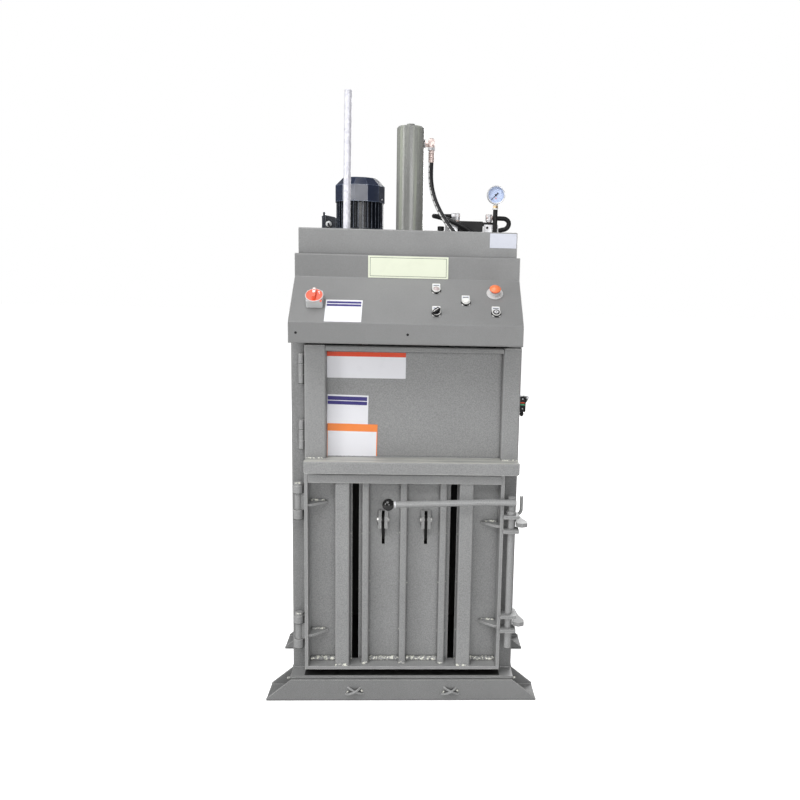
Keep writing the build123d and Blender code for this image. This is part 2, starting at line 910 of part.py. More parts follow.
# Upper door: folded stiles and top rail on a skin, and the lip under them
skin_front = -upper_door_clearance - skin
with BuildPart() as upper_door_frame:
    stiles = (
        (upper_left, upper_left + left_stile_width),
        (upper_right - right_stile_width, upper_right),
    )
    for left, right in stiles:
        folded(
            Plane.XY.offset(lip_top),
            [
                (left, back(skin_front)),
                (left, back(-upper_door_reach)),
                (right, back(-upper_door_reach)),
                (right, back(skin_front)),
            ],
            skin,
            Side.LEFT,
            upper_top - lip_top,
        )
    with BuildSketch(Plane.YZ.offset(upper_left + left_stile_width + seam)) as rail_section:
        with BuildLine():
            FilletPolyline(
                (back(skin_front), upper_top),
                (back(-upper_door_reach), upper_top),
                (back(-upper_door_reach), upper_top - top_rail_height),
                (back(skin_front), upper_top - top_rail_height),
                radius=bend,
            )
            offset(amount=skin, side=Side.LEFT)
        make_face()
    rail_length = upper_right - upper_left - left_stile_width - right_stile_width - 2 * seam
    extrude(amount=rail_length)
save(upper_door_frame, "upper_door_frame")

with BuildPart() as upper_door_panel:
    block(
        (upper_left + 1, upper_right - 1),
        (back(skin_front), back(-upper_door_clearance)),
        (lip_bottom, upper_top - 1),
    )
save(upper_door_panel, "upper_door_panel")

lip_sheet = 4
with BuildPart() as door_lip:
    with BuildSketch(Plane.YZ.offset(upper_left + lip_inset)) as lip_section:
        with BuildLine():
            FilletPolyline(
                (back(skin_front), lip_top),
                (back(-lip_reach), lip_top),
                (back(-lip_reach), lip_bottom),
                radius=bend,
            )
            offset(amount=lip_sheet, side=Side.LEFT)
        make_face()
    extrude(amount=upper_right - upper_left - lip_inset)
    lower_corners = door_lip.edges().filter_by(Axis.Y).group_by(Axis.Z)[0]
    fillet(lower_corners, radius=9)
save(door_lip, "door_lip")

# Console: one folded sheet with its ends closed, open at the back against the head
console_bottom = body_top - console_drop
fold_low = console_bottom + console_apron
fold_high = fold_low + panel_rise
console_top = fold_high + console_fold
console_front = back(-console_reach)
ledge_front = back(-console_ledge)
slope = math.hypot(panel_run, panel_rise)
panel = Plane(
    origin=(0, ledge_front, fold_high),
    x_dir=(1, 0, 0),
    z_dir=(0, -panel_rise / slope, panel_run / slope),
)


def on_panel(spot, rise=0.0):
    """The sloping panel's plane, moved to a device's centre."""
    return Plane(
        origin=panel.from_local_coords((spot[0], -spot[1], rise)),
        x_dir=panel.x_dir,
        z_dir=panel.z_dir,
    )


device_hole = 11
ring_spots = (lamp_spot, selector_spot, button_spot, key_spot)
with BuildPart() as console:
    with BuildSketch(Plane.YZ):
        with BuildLine():
            FilletPolyline(
                (front, console_top),
                (ledge_front, console_top),
                (ledge_front, fold_high),
                (console_front, fold_low),
                (console_front, console_bottom),
                (front, console_bottom),
                radius=bend,
            )
            Line((front, console_bottom), (front, console_top))
        make_face()
    extrude(amount=console_half, both=True)
    rear_opening = console.faces().sort_by(Axis.Y)[-1]
    offset(amount=-console_sheet, openings=rear_opening)
    for spot in (*ring_spots, stop_spot, isolator_spot):
        with BuildSketch(on_panel(spot, -2 * console_sheet)) as hole:
            Circle(device_hole)
        extrude(amount=3 * console_sheet, mode=Mode.SUBTRACT)
save(console, "console")

# Device bezels: a label holder, a ring with a well, a neck through the panel and its nut
ring_radius = 15
ring_height = 9
well_radius = 12
well_floor = 2
stem_bore = 8
neck_length = 14
holder_width = 29
holder_top = 35
holder_bottom = 15
with BuildPart() as device_bezels:
    for spot in ring_spots:
        holder_centre = (spot[0], spot[1] - (holder_top - holder_bottom) / 2)
        with BuildSketch(on_panel(holder_centre)) as holder:
            RectangleRounded(holder_width, holder_top + holder_bottom, 3)
        extrude(amount=1.6)
        with BuildSketch(on_panel(spot)) as ring:
            Circle(ring_radius)
        extrude(amount=ring_height)
        with BuildSketch(on_panel(spot)) as neck:
            Circle(device_hole - 0.1)
        extrude(amount=-neck_length)
        with BuildSketch(on_panel(spot, -console_sheet)) as nut:
            RegularPolygon(15, 6)
        extrude(amount=-5)
        with BuildSketch(on_panel(spot, well_floor)) as well:
            Circle(well_radius)
        extrude(amount=ring_height, mode=Mode.SUBTRACT)
        with BuildSketch(on_panel(spot, -2 * neck_length)) as bore:
            Circle(stem_bore + running)
        extrude(amount=3 * neck_length, mode=Mode.SUBTRACT)
save(device_bezels, "device_bezels")

# Pilot lamp lens, domed
with BuildPart() as lamp_lens:
    with BuildSketch(Plane.XZ):
        with BuildLine():
            Line((0, well_floor), (well_radius, well_floor))
            Line((well_radius, well_floor), (well_radius, ring_height))
            dome_arc(well_radius, ring_height, 5)
            Line((0, ring_height + 5), (0, well_floor))
        make_face()
    revolve(axis=Axis.Z)
lamp_lens.part.location = on_panel(lamp_spot).location
save(lamp_lens, "lamp_lens")

# Push button, selector and key barrel: each sits in its bezel on a stem
cap_radius = well_radius - device_gap
button_travel = 4
with BuildPart() as push_button:
    with BuildSketch(on_panel(button_spot, well_floor + button_travel + 0.5)) as cap:
        Circle(cap_radius)
    extrude(amount=8)
    fillet(push_button.edges().group_by(Axis.Z)[-1], radius=2)
    with BuildSketch(on_panel(button_spot, well_floor + button_travel + 0.5)) as stem:
        Circle(stem_bore)
    extrude(amount=-18)
save(push_button, "push_button")

selector_turn = 225
with BuildPart() as selector_knob:
    with BuildSketch(Plane.XY.offset(well_floor + device_gap)):
        Circle(cap_radius)
    extrude(amount=ring_height - well_floor)
    with BuildSketch(Plane.XY.offset(ring_height + device_gap)):
        with BuildLine():
            Polyline((0, -6), (13, -6), (18, -2.5), (18, 2.5), (13, 6), (-13, 6), (-13, -6), close=True)
        make_face()
    extrude(amount=11)
    with BuildSketch(Plane.XY.offset(well_floor + device_gap)):
        Circle(stem_bore)
    extrude(amount=-18)
selector_knob.part.location = on_panel(selector_spot).location * Location((0, 0, 0), (0, 0, selector_turn))
save(selector_knob, "selector_knob")

with BuildPart() as key_barrel:
    with BuildSketch(Plane.XY.offset(well_floor + device_gap)):
        Circle(cap_radius)
    extrude(amount=ring_height + 1 - well_floor)
    with BuildSketch(Plane.XY.offset(ring_height - 3)):
        SlotOverall(13, 3.2, rotation=60)
    extrude(amount=10, mode=Mode.SUBTRACT)
    with BuildSketch(Plane.XY.offset(well_floor + device_gap)):
        Circle(stem_bore)
    extrude(amount=-18)
key_barrel.part.location = on_panel(key_spot).location
save(key_barrel, "key_barrel")

# Round plate of the stop button with its collar, and the isolator's square base
stop_plate_radius = 30
stop_collar = 12
isolator_side = 60
isolator_height = 28
isolator_disc = 31.5
with BuildPart() as device_plates:
    with BuildSketch(on_panel(stop_spot)) as stop_disc:
        Circle(stop_plate_radius)
    extrude(amount=2)
    with BuildSketch(on_panel(stop_spot)) as stop_ring:
        Circle(ring_radius)
    extrude(amount=stop_collar)
    with BuildSketch(on_panel(isolator_spot)) as base_outline:
        RectangleRounded(isolator_side, isolator_side, 7)
    extrude(amount=isolator_height, taper=4)
    for spot in (stop_spot, isolator_spot):
        with BuildSketch(on_panel(spot)) as stem_neck:
            Circle(device_hole - 0.1)
        extrude(amount=-neck_length)
        with BuildSketch(on_panel(spot, -2 * neck_length)) as stem_hole:
            Circle(stem_bore + running)
        extrude(amount=3 * neck_length + isolator_height, mode=Mode.SUBTRACT)
save(device_plates, "device_plates")

# Mushroom of the stop button
stop_travel = 6
mushroom_radius = 20
with BuildPart() as stop_mushroom:
    mushroom_base = stop_collar + stop_travel + 0.5
    with BuildSketch(Plane.XZ):
        with BuildLine():
            Polyline(
                (0, -neck_length),
                (stem_bore, -neck_length),
                (stem_bore, mushroom_base),
                (mushroom_radius - 3, mushroom_base),
                (mushroom_radius, mushroom_base + 3),
                (mushroom_radius, mushroom_base + 6),
            )
            dome_arc(mushroom_radius, mushroom_base + 6, 7)
            Line((0, mushroom_base + 13), (0, -neck_length))
        make_face()
    revolve(axis=Axis.Z)
stop_mushroom.part.location = on_panel(stop_spot).location
save(stop_mushroom, "stop_mushroom")

# Isolator handle: a disc with a raised grip
with BuildPart() as isolator_handle:
    with BuildSketch(Plane.XY.offset(isolator_height + device_gap)):
        Circle(isolator_disc)
    extrude(amount=5)
    with BuildSketch(Plane.XY.offset(isolator_height + device_gap + 5)):
        RectangleRounded(15, 46, 6)
    extrude(amount=15, taper=6)
    with BuildSketch(Plane.XY.offset(isolator_height + device_gap)):
        Circle(stem_bore)
    extrude(amount=-isolator_height)
isolator_handle.part.location = on_panel(isolator_spot).location
save(isolator_handle, "isolator_handle")

# Limit switch on the right post, with its roller lever
switch_level = 1134
switch_height = 61
switch_depth = (22, 56)
switch_width = 26
lever_pivot = (back(30), switch_level + 44)
with BuildPart() as limit_switch:
    block(
        (post_outer, post_outer + switch_width),
        (back(switch_depth[0]), back(switch_depth[1])),
        (switch_level, switch_level + switch_height),
    )
    fillet(limit_switch.edges().filter_by(Axis.Z), radius=3)
    with BuildSketch(Plane.YZ.offset(post_outer + switch_width)) as pivot_boss:
        with Locations(lever_pivot):
            Circle(8)
    extrude(amount=3)
    with BuildSketch(Plane.YZ.offset(post_outer + switch_width + 3)) as pivot_hole:
        with Locations(lever_pivot):
            Circle(3 + running)
    extrude(amount=-15, mode=Mode.SUBTRACT)
    with BuildSketch(Plane.XY.offset(switch_level)) as cable_gland:
        with Locations((post_outer + switch_width / 2, back(40))):
            Circle(7)
    extrude(amount=-8)
save(limit_switch, "limit_switch")

with BuildPart() as limit_lever:
    arm_x = post_outer + switch_width + 3 + device_gap
    with BuildSketch(Plane.YZ.offset(arm_x)) as arm:
        with BuildLine():
            Polyline(
                (lever_pivot[0] + 6, lever_pivot[1] - 6),
                (lever_pivot[0] + 6, lever_pivot[1] + 6),
                (lever_pivot[0] - 34, lever_pivot[1] + 22),
                (lever_pivot[0] - 38, lever_pivot[1] + 14),
                close=True,
            )
        make_face()
        fillet(arm.vertices(), radius=3)
    extrude(amount=3)
    with BuildSketch(Plane.YZ.offset(arm_x)) as pivot_pin:
        with Locations(lever_pivot):
            Circle(3)
    extrude(amount=-14)
    with BuildSketch(Plane.YZ.offset(arm_x)) as roller:
        with Locations((lever_pivot[0] - 33, lever_pivot[1] + 17)):
            Circle(7)
    extrude(amount=-6)
save(limit_lever, "limit_lever")

# Motor: finned body on a flange, with the pump under the deck; terminal box on its left
flange_height = 30
fins_top = deck_top + 146
body_end = fins_top + 8
with BuildPart() as motor_body:
    post(motor_x, motor_y, deck_top, core_radius + 12, 10)
    with BuildSketch(Plane.XY.offset(deck_top + flange_height)):
        with Locations((motor_x, motor_y)):
            Circle(core_radius)
            with PolarLocations((core_radius + fin_radius) / 2 - 1, fin_count):
                Rectangle(fin_radius - core_radius + 2, fin_sheet)
    extrude(amount=fins_top - deck_top - flange_height)
    post(motor_x, motor_y, deck_top, core_radius - 4, body_end - deck_top)
    post(motor_x, motor_y, deck_bottom - 80, 52, 80, coupling_radius + 6)
    block(
        (motor_x - 42, motor_x + 42),
        (motor_y - 46, motor_y + 46),
        (deck_bottom - 150, deck_bottom - 80),
    )
    with Locations((motor_x, motor_y, deck_top)):
        Cylinder(motor_shaft_radius + running, 600, mode=Mode.SUBTRACT)
save(motor_body, "motor_body")

# Cowl over the fan: a twelve-sided moulding with a bevelled top and air slots
cowl_sides = 12
cowl_wall = 2.5
cowl_bottom = fins_top - 14
cowl_shoulder = cowl_bottom + 63
cowl_top = cowl_shoulder + 31
cowl_turn = -8.5
with BuildPart() as motor_cowl:
    with BuildSketch(Plane.XY.offset(cowl_bottom)):
        with Locations((motor_x, motor_y)):
            RegularPolygon(cowl_radius, cowl_sides, major_radius=False, rotation=cowl_turn)
    extrude(amount=cowl_shoulder - cowl_bottom)
    with BuildSketch(Plane.XY.offset(cowl_shoulder)):
        with Locations((motor_x, motor_y)):
            RegularPolygon(cowl_radius, cowl_sides, major_radius=False, rotation=cowl_turn)
    with BuildSketch(Plane.XY.offset(cowl_top)):
        with Locations((motor_x, motor_y)):
            RegularPolygon(cowl_top_radius, cowl_sides, major_radius=False, rotation=cowl_turn)
    loft()
    cowl_mouth = motor_cowl.faces().sort_by(Axis.Z)[0]
    offset(amount=-cowl_wall, openings=cowl_mouth)
    with BuildSketch(Plane.XY.offset(cowl_top - 2 * cowl_wall)):
        with Locations((motor_x, motor_y)):
            with PolarLocations(38, cowl_sides):
                SlotOverall(36, 7)
    extrude(amount=4 * cowl_wall, mode=Mode.SUBTRACT)
save(motor_cowl, "motor_cowl")

# Rotor shaft with its fan, and the coupling end in the tank
fan_base = body_end + 4
fan_height = 40
fan_radius = 80
shaft_end = deck_bottom - 70
with BuildPart() as rotor_shaft:
    post(motor_x, motor_y, shaft_end, motor_shaft_radius, fan_base + fan_height + 6 - shaft_end)
save(rotor_shaft, "rotor_shaft")

with BuildPart() as cooling_fan:
    with BuildSketch(Plane.XY.offset(fan_base)):
        with Locations((motor_x, motor_y)):
            Circle(fan_radius)
            Circle(motor_shaft_radius, mode=Mode.SUBTRACT)
    extrude(amount=3)
    with BuildSketch(Plane.XY.offset(fan_base)):
        with Locations((motor_x, motor_y)):
            Circle(26)
            with PolarLocations(52, 8):
                Rectangle(54, 3)
            Circle(motor_shaft_radius, mode=Mode.SUBTRACT)
    extrude(amount=fan_height)
save(cooling_fan, "cooling_fan")

box_left = motor_x - fin_radius - 58
with BuildPart() as terminal_box:
    with BuildSketch(Plane.XZ.offset(-(motor_y + 30))):
        with BuildLine():
            Polyline(
                (box_left + 16, deck_top + 30),
                (box_left + 16, deck_top + 80),
                (motor_x - fin_radius - 0.3, deck_top + 72),
                (motor_x - fin_radius - 0.3, deck_top + 30),
                close=True,
            )
        make_face()
    extrude(amount=60)
    fillet(terminal_box.edges().filter_by(Axis.Y), radius=4)
    block(
        (box_left + 9, box_left + 18),
        (motor_y - 36, motor_y + 36),
        (deck_top + 24, deck_top + 90),
    )
    block(
        (box_left + 4, box_left + 10),
        (motor_y - 30, motor_y + 30),
        (deck_top + 30, deck_top + 76),
    )
    with BuildSketch(Plane.XZ.offset(-(motor_y - 30))) as box_gland:
        with Locations((box_left + 32, deck_top + 44)):
            Circle(10)
    extrude(amount=12)
save(terminal_box, "terminal_box")

# Oil tank under the deck, round the pump
tank_x = (-head_half + head_sheet + 2, -beam_offset - beam_flange / 2 - 12)
tank_y = (back(195), rear - head_sheet - 8)
tank_bottom = deck_bottom - 190
with BuildPart() as oil_tank:
    block(tank_x, tank_y, (tank_bottom, deck_bottom))
    tank_mouth = oil_tank.faces().sort_by(Axis.Z)[-1]
    offset(amount=-tank_sheet, openings=tank_mouth)
save(oil_tank, "oil_tank")

# Valve block, its solenoid and the bar beside it
valve_x = (194 * spread, 288 * spread)
valve_y = (200, 262)
valve_top = deck_top + 65
bar_end = 332 * spread
with BuildPart() as valve_block:
    block(valve_x, (back(valve_y[0]), back(valve_y[1])), (deck_top, valve_top))
    fillet(valve_block.edges().filter_by(Axis.Z), radius=2)
    block((valve_x[1] - 2, bar_end), (back(212), back(240)), (valve_top - 16, valve_top - 2))
    with BuildSketch(Plane.YZ.offset(valve_x[0])) as coil:
        with Locations((back(231), deck_top + 32)):
            Circle(18)
    extrude(amount=-30)
save(valve_block, "valve_block")

# Oil filler cap on the deck
with BuildPart() as filler_cap:
    post(123 * spread, back(200), deck_top, 10, 26)
    post(123 * spread, back(200), deck_top + 26, 13, 16)
    fillet(filler_cap.edges().group_by(Axis.Z)[-1], radius=3)
save(filler_cap, "filler_cap")

# Hose routes, each from its upper fitting to its lower one
main_radius = 9.5
main_rise = port_level - 71 - deck_top
main_route = [
    (81, back(240), deck_top + main_rise),
    (79, back(238), deck_top + 0.826 * main_rise),
    (85, back(222), deck_top + 0.653 * main_rise),
    (97 * spread, back(196), deck_top + 0.49 * main_rise),
    (118 * spread, back(166), deck_top + 0.326 * main_rise),
    (144 * spread, back(134), deck_top + 0.17 * main_rise),
    (172 * spread, back(108), deck_top + 0.035 * main_rise),
]
loop_radius = 9
loop_route = [
    (172 * spread, back(344), 1890),
    (147 * spread, back(344), 1889),
    (108 * spread, back(316), 1887),
    (93 * spread, back(270), 1883),
    (108 * spread, back(224), 1877),
    (147 * spread, back(197), 1865),
    (190 * spread, back(184), 1847),
    (228 * spread, back(176), 1828),
    (256 * spread, back(172), 1807),
]
cable_radius = 4
cable_route = [
    (box_left + 32, motor_y - 42.4, deck_top + 44),
    (box_left + 32, motor_y - 58, deck_top + 43),
    (box_left + 40, motor_y - 72, deck_top + 30),
    (box_left + 47, motor_y - 78, deck_top + 12),
]
routes = (
    ("main_hose", main_route, main_radius),
    ("loop_hose", loop_route, loop_radius),
    ("motor_cable", cable_route, cable_radius),
)
cord_lines = {}
for cord_name, route, cord_radius in routes:
    radii = bend_radii(route, 30 * cord_radius)
    print(cord_name, "bend radii", [round(r) for r in radii])
    with BuildPart() as cord:
        with BuildLine() as cord_line:
            FilletPolyline(*route, radius=radii)
        with BuildSketch(Plane(origin=cord_line.line @ 0, z_dir=cord_line.line % 0)):
            Circle(cord_radius)
        sweep(path=cord_line.line)
    cord_lines[cord_name] = cord_line.line
    length = cord_line.wires()[0].length
    ratio = cord.part.volume / (math.pi * cord_radius**2 * length)
    print(cord_name, "length", round(length), "volume ratio", round(ratio, 4))
    save(cord, cord_name)


def collar_at(line, end, radius, reach):
    """A collar round a hose's end, drawn out away from the hose."""
    outward = -1 if end == 0 else 1
    direction = (line % end) * outward
    with BuildSketch(Plane(origin=line @ end, z_dir=direction)) as ring:
        Circle(radius)
    extrude(ring.sketch, amount=reach)


# Fittings: port elbow, crimp sleeve, hose couplings and the collars on the deck
with BuildPart() as hose_fittings:
    with BuildSketch(Plane.YZ.offset(barrel_radius - 1)) as port_stub:
        with Locations((cylinder_y, port_level)):
            Circle(port_radius)
    extrude(amount=port_reach - barrel_radius + 1)
    with BuildSketch(Plane.YZ.offset(barrel_radius + 3)) as port_nut:
        with Locations((cylinder_y, port_level)):
            RegularPolygon(13, 6)
    extrude(amount=10)
    post(port_reach, cylinder_y, port_level - 26, 10, 42)
    with Locations((port_reach, cylinder_y, port_level - 10)):
        Sphere(14)
    collar_at(cord_lines["main_hose"], 0, main_radius + 0.8, 46)
    collar_at(cord_lines["main_hose"], 1, main_radius + 3, 14)
    collar_at(cord_lines["loop_hose"], 0, loop_radius + 3, 30)
    post(192 * spread, back(344), deck_top, 10, 94)
    collar_at(cord_lines["loop_hose"], 1, loop_radius + 3, 30)
    with BuildSketch(Plane.YZ.offset(302 * spread)) as knob_disc:
        with Locations((back(226), 1877)):
            RegularPolygon(14, 8)
    extrude(amount=24)
    post(302 * spread + 12, back(226), valve_top - 2, 8, 16)
    post(350 * spread, back(222), deck_top, 11, 20)
    collar_at(cord_lines["motor_cable"], 1, cable_radius + 3, 14)
    split(bisect_by=Plane.XY.offset(deck_top), keep=Keep.TOP)
save(hose_fittings, "hose_fittings")

# Bent pipe from the knob fitting, out behind the gauge and back to the deck
pipe_bend = 24
gauge_pipe_radius = 9
with BuildPart() as gauge_pipe:
    with BuildLine() as gauge_line:
        FilletPolyline(
            (302 * spread + 24.2, back(226), 1877),
            (388 * spread, back(226), 1876),
            (400 * spread, back(224), 1840),
            (350 * spread, back(222), 1828),
            (350 * spread, back(222), deck_top + 20.2),
            radius=[pipe_bend, pipe_bend, 10],
        )
    with BuildSketch(Plane(origin=gauge_line.line @ 0, z_dir=gauge_line.line % 0)):
        Circle(gauge_pipe_radius)
    sweep(path=gauge_line.line)
save(gauge_pipe, "gauge_pipe")

# Pressure gauge: stem, case with a sunk dial, and the needle on its pivot
gauge_y = back(gauge_back)
nipple_bottom = gauge_level - gauge_radius - 16
with BuildPart() as gauge_stem:
    post(gauge_x, gauge_y, deck_top, stem_radius, nipple_bottom - deck_top - 5)
    post(gauge_x, gauge_y, nipple_bottom - 5, stem_radius + 2, 5)
    with BuildSketch(Plane.XY.offset(nipple_bottom)) as nipple:
        with Locations((gauge_x, gauge_y)):
            RegularPolygon(8, 6)
    extrude(amount=16)
save(gauge_stem, "gauge_stem")

case_half = 14
dial_depth = 9
with BuildPart() as gauge_case:
    with BuildSketch(Plane.XZ.offset(-gauge_y + case_half)):
        with Locations((gauge_x, gauge_level)):
            Circle(gauge_radius)
    extrude(amount=-2 * case_half)
    fillet(gauge_case.edges().filter_by(GeomType.CIRCLE), radius=3)
    with BuildSketch(Plane.XZ.offset(-gauge_y + case_half)):
        with Locations((gauge_x, gauge_level)):
            Circle(gauge_radius - 4)
    extrude(amount=-dial_depth, mode=Mode.SUBTRACT)
    with BuildSketch(Plane.XZ.offset(-gauge_y)):
        with Locations((gauge_x, gauge_level)):
            Circle(2 + running)
    extrude(amount=case_half, both=True, mode=Mode.SUBTRACT)
    # The stem's end meets the case from below
    with BuildSketch(Plane.XY.offset(gauge_level - gauge_radius)):
        with Locations((gauge_x, gauge_y)):
            Circle(6)
    extrude(amount=6)
save(gauge_case, "gauge_case")

needle_angle = 225
with BuildPart() as gauge_needle:
    dial_y = gauge_y - case_half + dial_depth
    with BuildSketch(Plane.XZ.offset(-dial_y + 2)) as pointer:
        with Locations((gauge_x, gauge_level)):
            Circle(4)
            with PolarLocations(0, 1, start_angle=needle_angle):
                with Locations((6.5, 0)):
                    Rectangle(37, 1.8)
                with Locations((-9, 0)):
                    Circle(3)
    extrude(amount=1.4)
    with BuildSketch(Plane.XZ.offset(-dial_y + 2)) as pivot:
        with Locations((gauge_x, gauge_level)):
            Circle(2)
    extrude(amount=-8)
save(gauge_needle, "gauge_needle")

# Conduit pipe, leaning a little, in a collar on the deck
pipe_base = Plane(
    origin=(pipe_x - 2, back(pipe_back), deck_top - 4),
    z_dir=(math.sin(math.radians(pipe_lean)), 0, math.cos(math.radians(pipe_lean))),
)
with BuildPart() as conduit_pipe:
    with BuildSketch(pipe_base):
        Circle(pipe_radius)
        Circle(pipe_radius - pipe_wall, mode=Mode.SUBTRACT)
    extrude(amount=pipe_length)
    with BuildSketch(pipe_base):
        Circle(pipe_radius + 6)
        Circle(pipe_radius - pipe_wall, mode=Mode.SUBTRACT)
    extrude(amount=14)
    with Locations(pipe_base.location * Location((pipe_radius, 0, pipe_length - 18))):
        Cylinder(2.5, 10, rotation=(0, 90, 0), mode=Mode.SUBTRACT)
    split(bisect_by=Plane.XY.offset(deck_top), keep=Keep.TOP)
save(conduit_pipe, "conduit_pipe")
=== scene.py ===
import math
import random
import bmesh
import bpy
from mathutils import Matrix, Vector


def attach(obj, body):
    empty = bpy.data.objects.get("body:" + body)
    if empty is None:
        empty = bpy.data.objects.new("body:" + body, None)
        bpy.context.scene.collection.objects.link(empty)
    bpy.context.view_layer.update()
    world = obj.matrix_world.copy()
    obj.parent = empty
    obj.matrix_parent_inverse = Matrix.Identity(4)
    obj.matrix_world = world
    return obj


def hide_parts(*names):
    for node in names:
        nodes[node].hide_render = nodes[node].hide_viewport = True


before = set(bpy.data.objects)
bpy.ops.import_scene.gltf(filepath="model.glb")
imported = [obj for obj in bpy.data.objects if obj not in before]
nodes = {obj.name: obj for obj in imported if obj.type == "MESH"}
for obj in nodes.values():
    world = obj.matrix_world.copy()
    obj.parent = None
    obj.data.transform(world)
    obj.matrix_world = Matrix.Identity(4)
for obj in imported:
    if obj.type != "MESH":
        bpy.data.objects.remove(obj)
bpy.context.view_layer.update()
print("frame loaded:", len(nodes), "nodes")

# places are in mm: x from the middle, back from the posts' front faces, z from the floor
postFace = -0.1365
mm = 0.001
chance = random.Random(11)


def spot(x, back, z):
    return Vector((x * mm, postFace + back * mm, z * mm))


# the photograph's camera: angles in degrees, lens in mm
view = {
    "place": (38.586, -2940.574, 1614.584),
    "pitch": 8.506,
    "yaw": 2.751,
    "roll": 1.319,
    "lens": 35.2315,
    "sensor": 36,
    "shiftX": -0.0672,
    "shiftY": 0.00175,
    "farthest": 60,
}


def addCamera():
    data = bpy.data.cameras.new("photoCamera")
    camera = bpy.data.objects.new("photoCamera", data)
    bpy.context.scene.collection.objects.link(camera)
    pitch = math.radians(view["pitch"])
    yaw = math.radians(view["yaw"])
    roll = math.radians(view["roll"])
    ahead = Vector((math.sin(yaw) * math.cos(pitch), math.cos(yaw) * math.cos(pitch), -math.sin(pitch)))
    level = Vector((math.cos(yaw), -math.sin(yaw), 0))
    above = level.cross(ahead)
    right = level * math.cos(roll) + above * math.sin(roll)
    up = above * math.cos(roll) - level * math.sin(roll)
    turned = Matrix((right, up, -ahead)).transposed().to_4x4()
    camera.matrix_world = Matrix.Translation(spot(*view["place"])) @ turned
    data.sensor_width = view["sensor"]
    data.lens = view["lens"]
    data.shift_x = view["shiftX"]
    data.shift_y = view["shiftY"]
    data.clip_end = view["farthest"]
    bpy.context.scene.camera = camera


addCamera()
print("camera placed")


def startMaterial(name):
    material = bpy.data.materials.new(name)
    material.use_nodes = True
    tree = material.node_tree
    shader = tree.nodes["Principled BSDF"]
    coords = tree.nodes.new("ShaderNodeTexCoord")
    return material, tree, shader, coords.outputs["Object"]


def noise(tree, source, scale, detail=4.0, roughness=0.55, stretch=None):
    vector = source
    if stretch:
        mapping = tree.nodes.new("ShaderNodeMapping")
        mapping.inputs["Scale"].default_value = stretch
        tree.links.new(source, mapping.inputs["Vector"])
        vector = mapping.outputs["Vector"]
    texture = tree.nodes.new("ShaderNodeTexNoise")
    texture.inputs["Scale"].default_value = scale
    texture.inputs["Detail"].default_value = detail
    texture.inputs["Roughness"].default_value = roughness
    tree.links.new(vector, texture.inputs["Vector"])
    return texture.outputs["Fac"]


def ramp(tree, source, stops):
    node = tree.nodes.new("ShaderNodeValToRGB")
    elements = node.color_ramp.elements
    elements[1].position = stops[-1][0]
    elements[0].position = stops[0][0]
    for place, colour in stops[1:-1]:
        elements.new(place)
    for element, (place, colour) in zip(elements, stops):
        shade = (colour,) * 3 if isinstance(colour, (int, float)) else colour
        element.color = (*shade, 1)
    tree.links.new(source, node.inputs["Fac"])
    return node.outputs["Color"]


# colours use the Mix node's sockets 0, 6, 7 and 2
def mix(tree, first, second, factor, blend="MIX"):
    node = tree.nodes.new("ShaderNodeMix")
    node.data_type = "RGBA"
    node.blend_type = blend
    share, firstSocket, secondSocket = (node.inputs[number] for number in (0, 6, 7))
    for value, socket in ((first, firstSocket), (second, secondSocket)):
        if isinstance(value, tuple):
            socket.default_value = (*value, 1)
        else:
            tree.links.new(value, socket)
    if isinstance(factor, float):
        share.default_value = factor
    else:
        tree.links.new(factor, share)
    return node.outputs[2]


def bump(tree, shader, height, strength, distance):
    node = tree.nodes.new("ShaderNodeBump")
    node.inputs["Strength"].default_value = strength
    node.inputs["Distance"].default_value = distance
    tree.links.new(height, node.inputs["Height"])
    tree.links.new(node.outputs["Normal"], shader.inputs["Normal"])


# pale edges: painted highlight along edges, together with worn chips
edgeHighlightAndWear = {"radius": 0.0036, "sharp": 0.9, "flat": 0.996}


# pale where a rounded normal leaves the flat one, which is along edges
def edgeMask(tree):
    bevel = tree.nodes.new("ShaderNodeBevel")
    bevel.samples = 4
    bevel.inputs["Radius"].default_value = edgeHighlightAndWear["radius"]
    geometry = tree.nodes.new("ShaderNodeNewGeometry")
    compare = tree.nodes.new("ShaderNodeVectorMath")
    compare.operation = "DOT_PRODUCT"
    tree.links.new(bevel.outputs["Normal"], compare.inputs[0])
    tree.links.new(geometry.outputs["Normal"], compare.inputs[1])
    return ramp(tree, compare.outputs["Value"], [(edgeHighlightAndWear["sharp"], 1), (edgeHighlightAndWear["flat"], 0)])


def toned(colour, factor):
    return tuple(min(1.0, c * factor) for c in colour)


# painted shade: dark where surfaces meet, where shade falls in corners and recesses
def paintedCornerShade(tree, distance=0.014):
    node = tree.nodes.new("ShaderNodeAmbientOcclusion")
    node.samples = 6
    node.inputs["Distance"].default_value = distance
    return node.outputs["AO"]


# painted shade inside the baling chamber and in the gap under the door: middle and reach along each axis, in
# metres
chamberShadeBox = {"X": (0, 0.3805), "Y": (0.059, 0.2595), "Z": (0.76375, 0.66625)}


# one where the chamber's painted shade goes, nought outside
def chamberShadeMask(tree, place):
    split = tree.nodes.new("ShaderNodeSeparateXYZ")
    tree.links.new(place, split.inputs["Vector"])
    inside = None
    for axis, (middle, reach) in chamberShadeBox.items():
        near = tree.nodes.new("ShaderNodeMath")
        near.operation = "COMPARE"
        near.inputs[1].default_value = middle
        near.inputs[2].default_value = reach
        tree.links.new(split.outputs[axis], near.inputs[0])
        if inside is None:
            inside = near.outputs["Value"]
        else:
            both = tree.nodes.new("ShaderNodeMath")
            both.operation = "MULTIPLY"
            tree.links.new(inside, both.inputs[0])
            tree.links.new(near.outputs["Value"], both.inputs[1])
            inside = both.outputs["Value"]
    return inside
